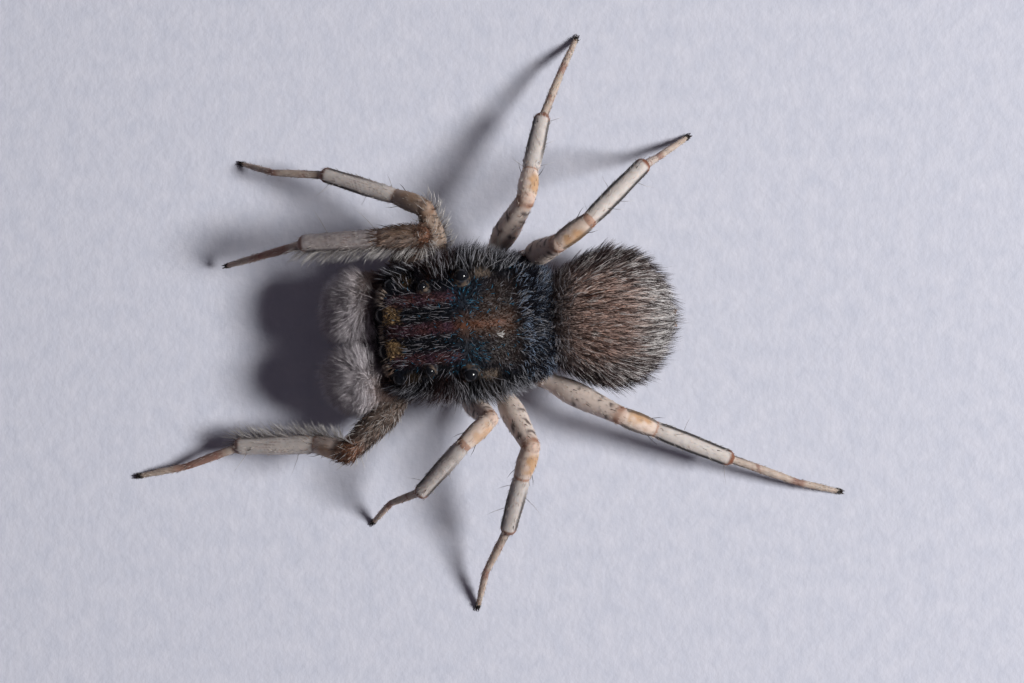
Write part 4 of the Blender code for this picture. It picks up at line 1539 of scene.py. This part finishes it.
VIEW_WIDTH = 18.0  # millimetres across the picture, at the spider's height
VIEW_CENTRE = (0.334, 0.404, 0.8)
LENS, SENSOR = 200.0, 36.0
NEAREST_SEEN, FURTHEST_SEEN = 0.2, 2.0  # as a share of the camera's distance, and in metres
KEY_WAY = (0.0, 1.1, 1.0)  # towards the light
KEY_FAR, KEY_RADIUS, KEY_POWER = 170.0, 27.0, 0.387
KEY_COLOUR = (1.0, 0.985, 0.96)
SKY_COLOUR, SKY_STRENGTH = (0.95, 0.82, 1.0, 1), 0.066
FLOOR_RADIUS, FLOOR_SIDES = 400.0, 96


def make_camera():
    data = bpy.data.cameras.new("camera")
    data.lens, data.sensor_width = LENS, SENSOR
    far = VIEW_WIDTH * LENS / SENSOR
    data.clip_start, data.clip_end = far * NEAREST_SEEN * MM, FURTHEST_SEEN
    camera = bpy.data.objects.new("camera", data)
    x, y, z = VIEW_CENTRE
    camera.location = (x * MM, y * MM, (z + far) * MM)
    camera.rotation_euler = (0, 0, math.pi / 2)  # the picture's right is +Y
    bpy.context.scene.collection.objects.link(camera)
    bpy.context.scene.camera = camera


def make_stage():
    mesh = bpy.data.meshes.new("floor")
    turns = np.arange(FLOOR_SIDES) * math.tau / FLOOR_SIDES
    ring = vectors(np.cos(turns), np.sin(turns), 0.0) * FLOOR_RADIUS * MM
    mesh.from_pydata(ring.tolist(), [], [tuple(range(FLOOR_SIDES))])
    mesh.materials.append(floor_material())
    new_piece("floor", mesh)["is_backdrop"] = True
    data = bpy.data.lights.new("key", "AREA")
    data.shape, data.size, data.energy = "DISK", 2 * KEY_RADIUS * MM, KEY_POWER
    data.color = KEY_COLOUR
    key = bpy.data.objects.new("key", data)
    way = unit(np.array(KEY_WAY))
    key.location = way * KEY_FAR * MM
    key.rotation_mode = "QUATERNION"
    key.rotation_quaternion = Vector(way).to_track_quat("Z", "Y")
    bpy.context.scene.collection.objects.link(key)
    world = bpy.data.worlds.new("studio")
    world.use_nodes = True
    background = world.node_tree.nodes["Background"]
    background.inputs["Color"].default_value = SKY_COLOUR
    background.inputs["Strength"].default_value = SKY_STRENGTH
    bpy.context.scene.world = world
    bpy.context.scene.view_settings.view_transform = "Standard"


# ---------------------------------------------------------------- the spider

FLESH_NODES = ("carapace", "abdomen", "pedicel", "spinnerets", "sternum_and_hips")


def dress(piece, slot, nodes=()):
    """Puts a piece on the spider's one body, in place of the solids of some nodes; the slot is not used."""
    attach(piece, "root")
    if nodes:
        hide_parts(*nodes)


def main():
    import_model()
    cad_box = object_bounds()
    make_camera()
    make_stage()
    head, waist = body_frames()
    segments = leg_segments(head)
    surfaces = {
        "carapace": Rounded(CARAPACE, CARAPACE_SQUARENESS, head),
        "abdomen": Rounded(ABDOMEN, ABDOMEN_SQUARENESS, waist),
    }
    for side in SIDES:
        surfaces["chelicera", side] = Limb(head.out(mirrored(CHELICERA["spine"], side)), CHELICERA["radii"])
        surfaces["palp", side] = Limb(head.out(mirrored(PALPS[side], side)), PALP_RADII)

    cuticle = tinted_material("cuticle", grain=0.10, shade=(0.82, 1.15), rough=(0.50, 0.64),
                              bump=(0.025, 0.006), specular=0.28, flesh=0.5)
    skin, tree = make_skin(flesh_parts(head, waist, segments, surfaces), cuticle)
    nodes = [*FLESH_NODES, *(f"{part}_{side}" for part in ("chelicera", "palp") for side in SIDES)]
    nodes += [f"{s.side}_leg{s.pair}_{s.segment}" for s in segments]
    dress(skin, "leg", nodes)
    make_eyes(eye_material())
    horn = tinted_material("claw_horn", grain=0.05, shade=(0.8, 1.2), rough=(0.18, 0.3))
    dress(make_hard_parts(head, segments, horn), "claw")

    dark_hair = tinted_material("body_hair", grain=0.15, shade=(0.85, 1.15), rough=(0.50, 0.65),
                                specular=0.12)
    pale_hair = tinted_material("pale_hair", grain=0.15, shade=(0.88, 1.12), rough=(0.55, 0.7),
                                specular=0.2)
    barber = Barber(tree, head)
    coats = []
    down, long_hair = coat_of_carapace(barber, head, surfaces["carapace"])
    coats += [("coat_carapace_down", down, dark_hair, "carapace", SHORT_HAIR),
              ("coat_carapace_hair", long_hair, dark_hair, "carapace", LONG_HAIR)]
    down, long_hair = coat_of_abdomen(barber, waist, surfaces["abdomen"])
    coats += [("coat_abdomen_down", down, dark_hair, "abdomen", SHORT_HAIR),
              ("coat_abdomen_hair", long_hair, dark_hair, "abdomen", LONG_HAIR)]
    for side, hairs in zip(SIDES, coat_of_palps(barber, head, surfaces)):
        coats.append((f"coat_palp_{side}", hairs, pale_hair, "palp", SHORT_HAIR))
    coats.append(("coat_face", coat_of_face(barber, head, surfaces), pale_hair, "carapace", SHORT_HAIR))
    for name, pairs, slot, kind in (("front", (1,), "front_leg", LONG_HAIR),
                                    ("middle", (2, 3), "leg", SHORT_HAIR), ("rear", (4,), "leg", SHORT_HAIR)):
        mine = joined([coat_of_leg(barber, s) for s in segments if s.pair in pairs])
        coats.append((f"coat_{name}_legs", mine, pale_hair, slot, kind))
    coats.append(("leg_spines", leg_spines(segments), dark_hair, "leg", SHORT_HAIR))
    for name, hairs, material, slot, kind in coats:
        print(name, hairs.count(), "hairs")
        dress(coat_piece(name, hairs, material, kind), slot)

    boxes = {"cad": cad_box, "visual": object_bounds()}
    {name: [list(corner) for corner in box] for name, box in boxes.items()}


main()
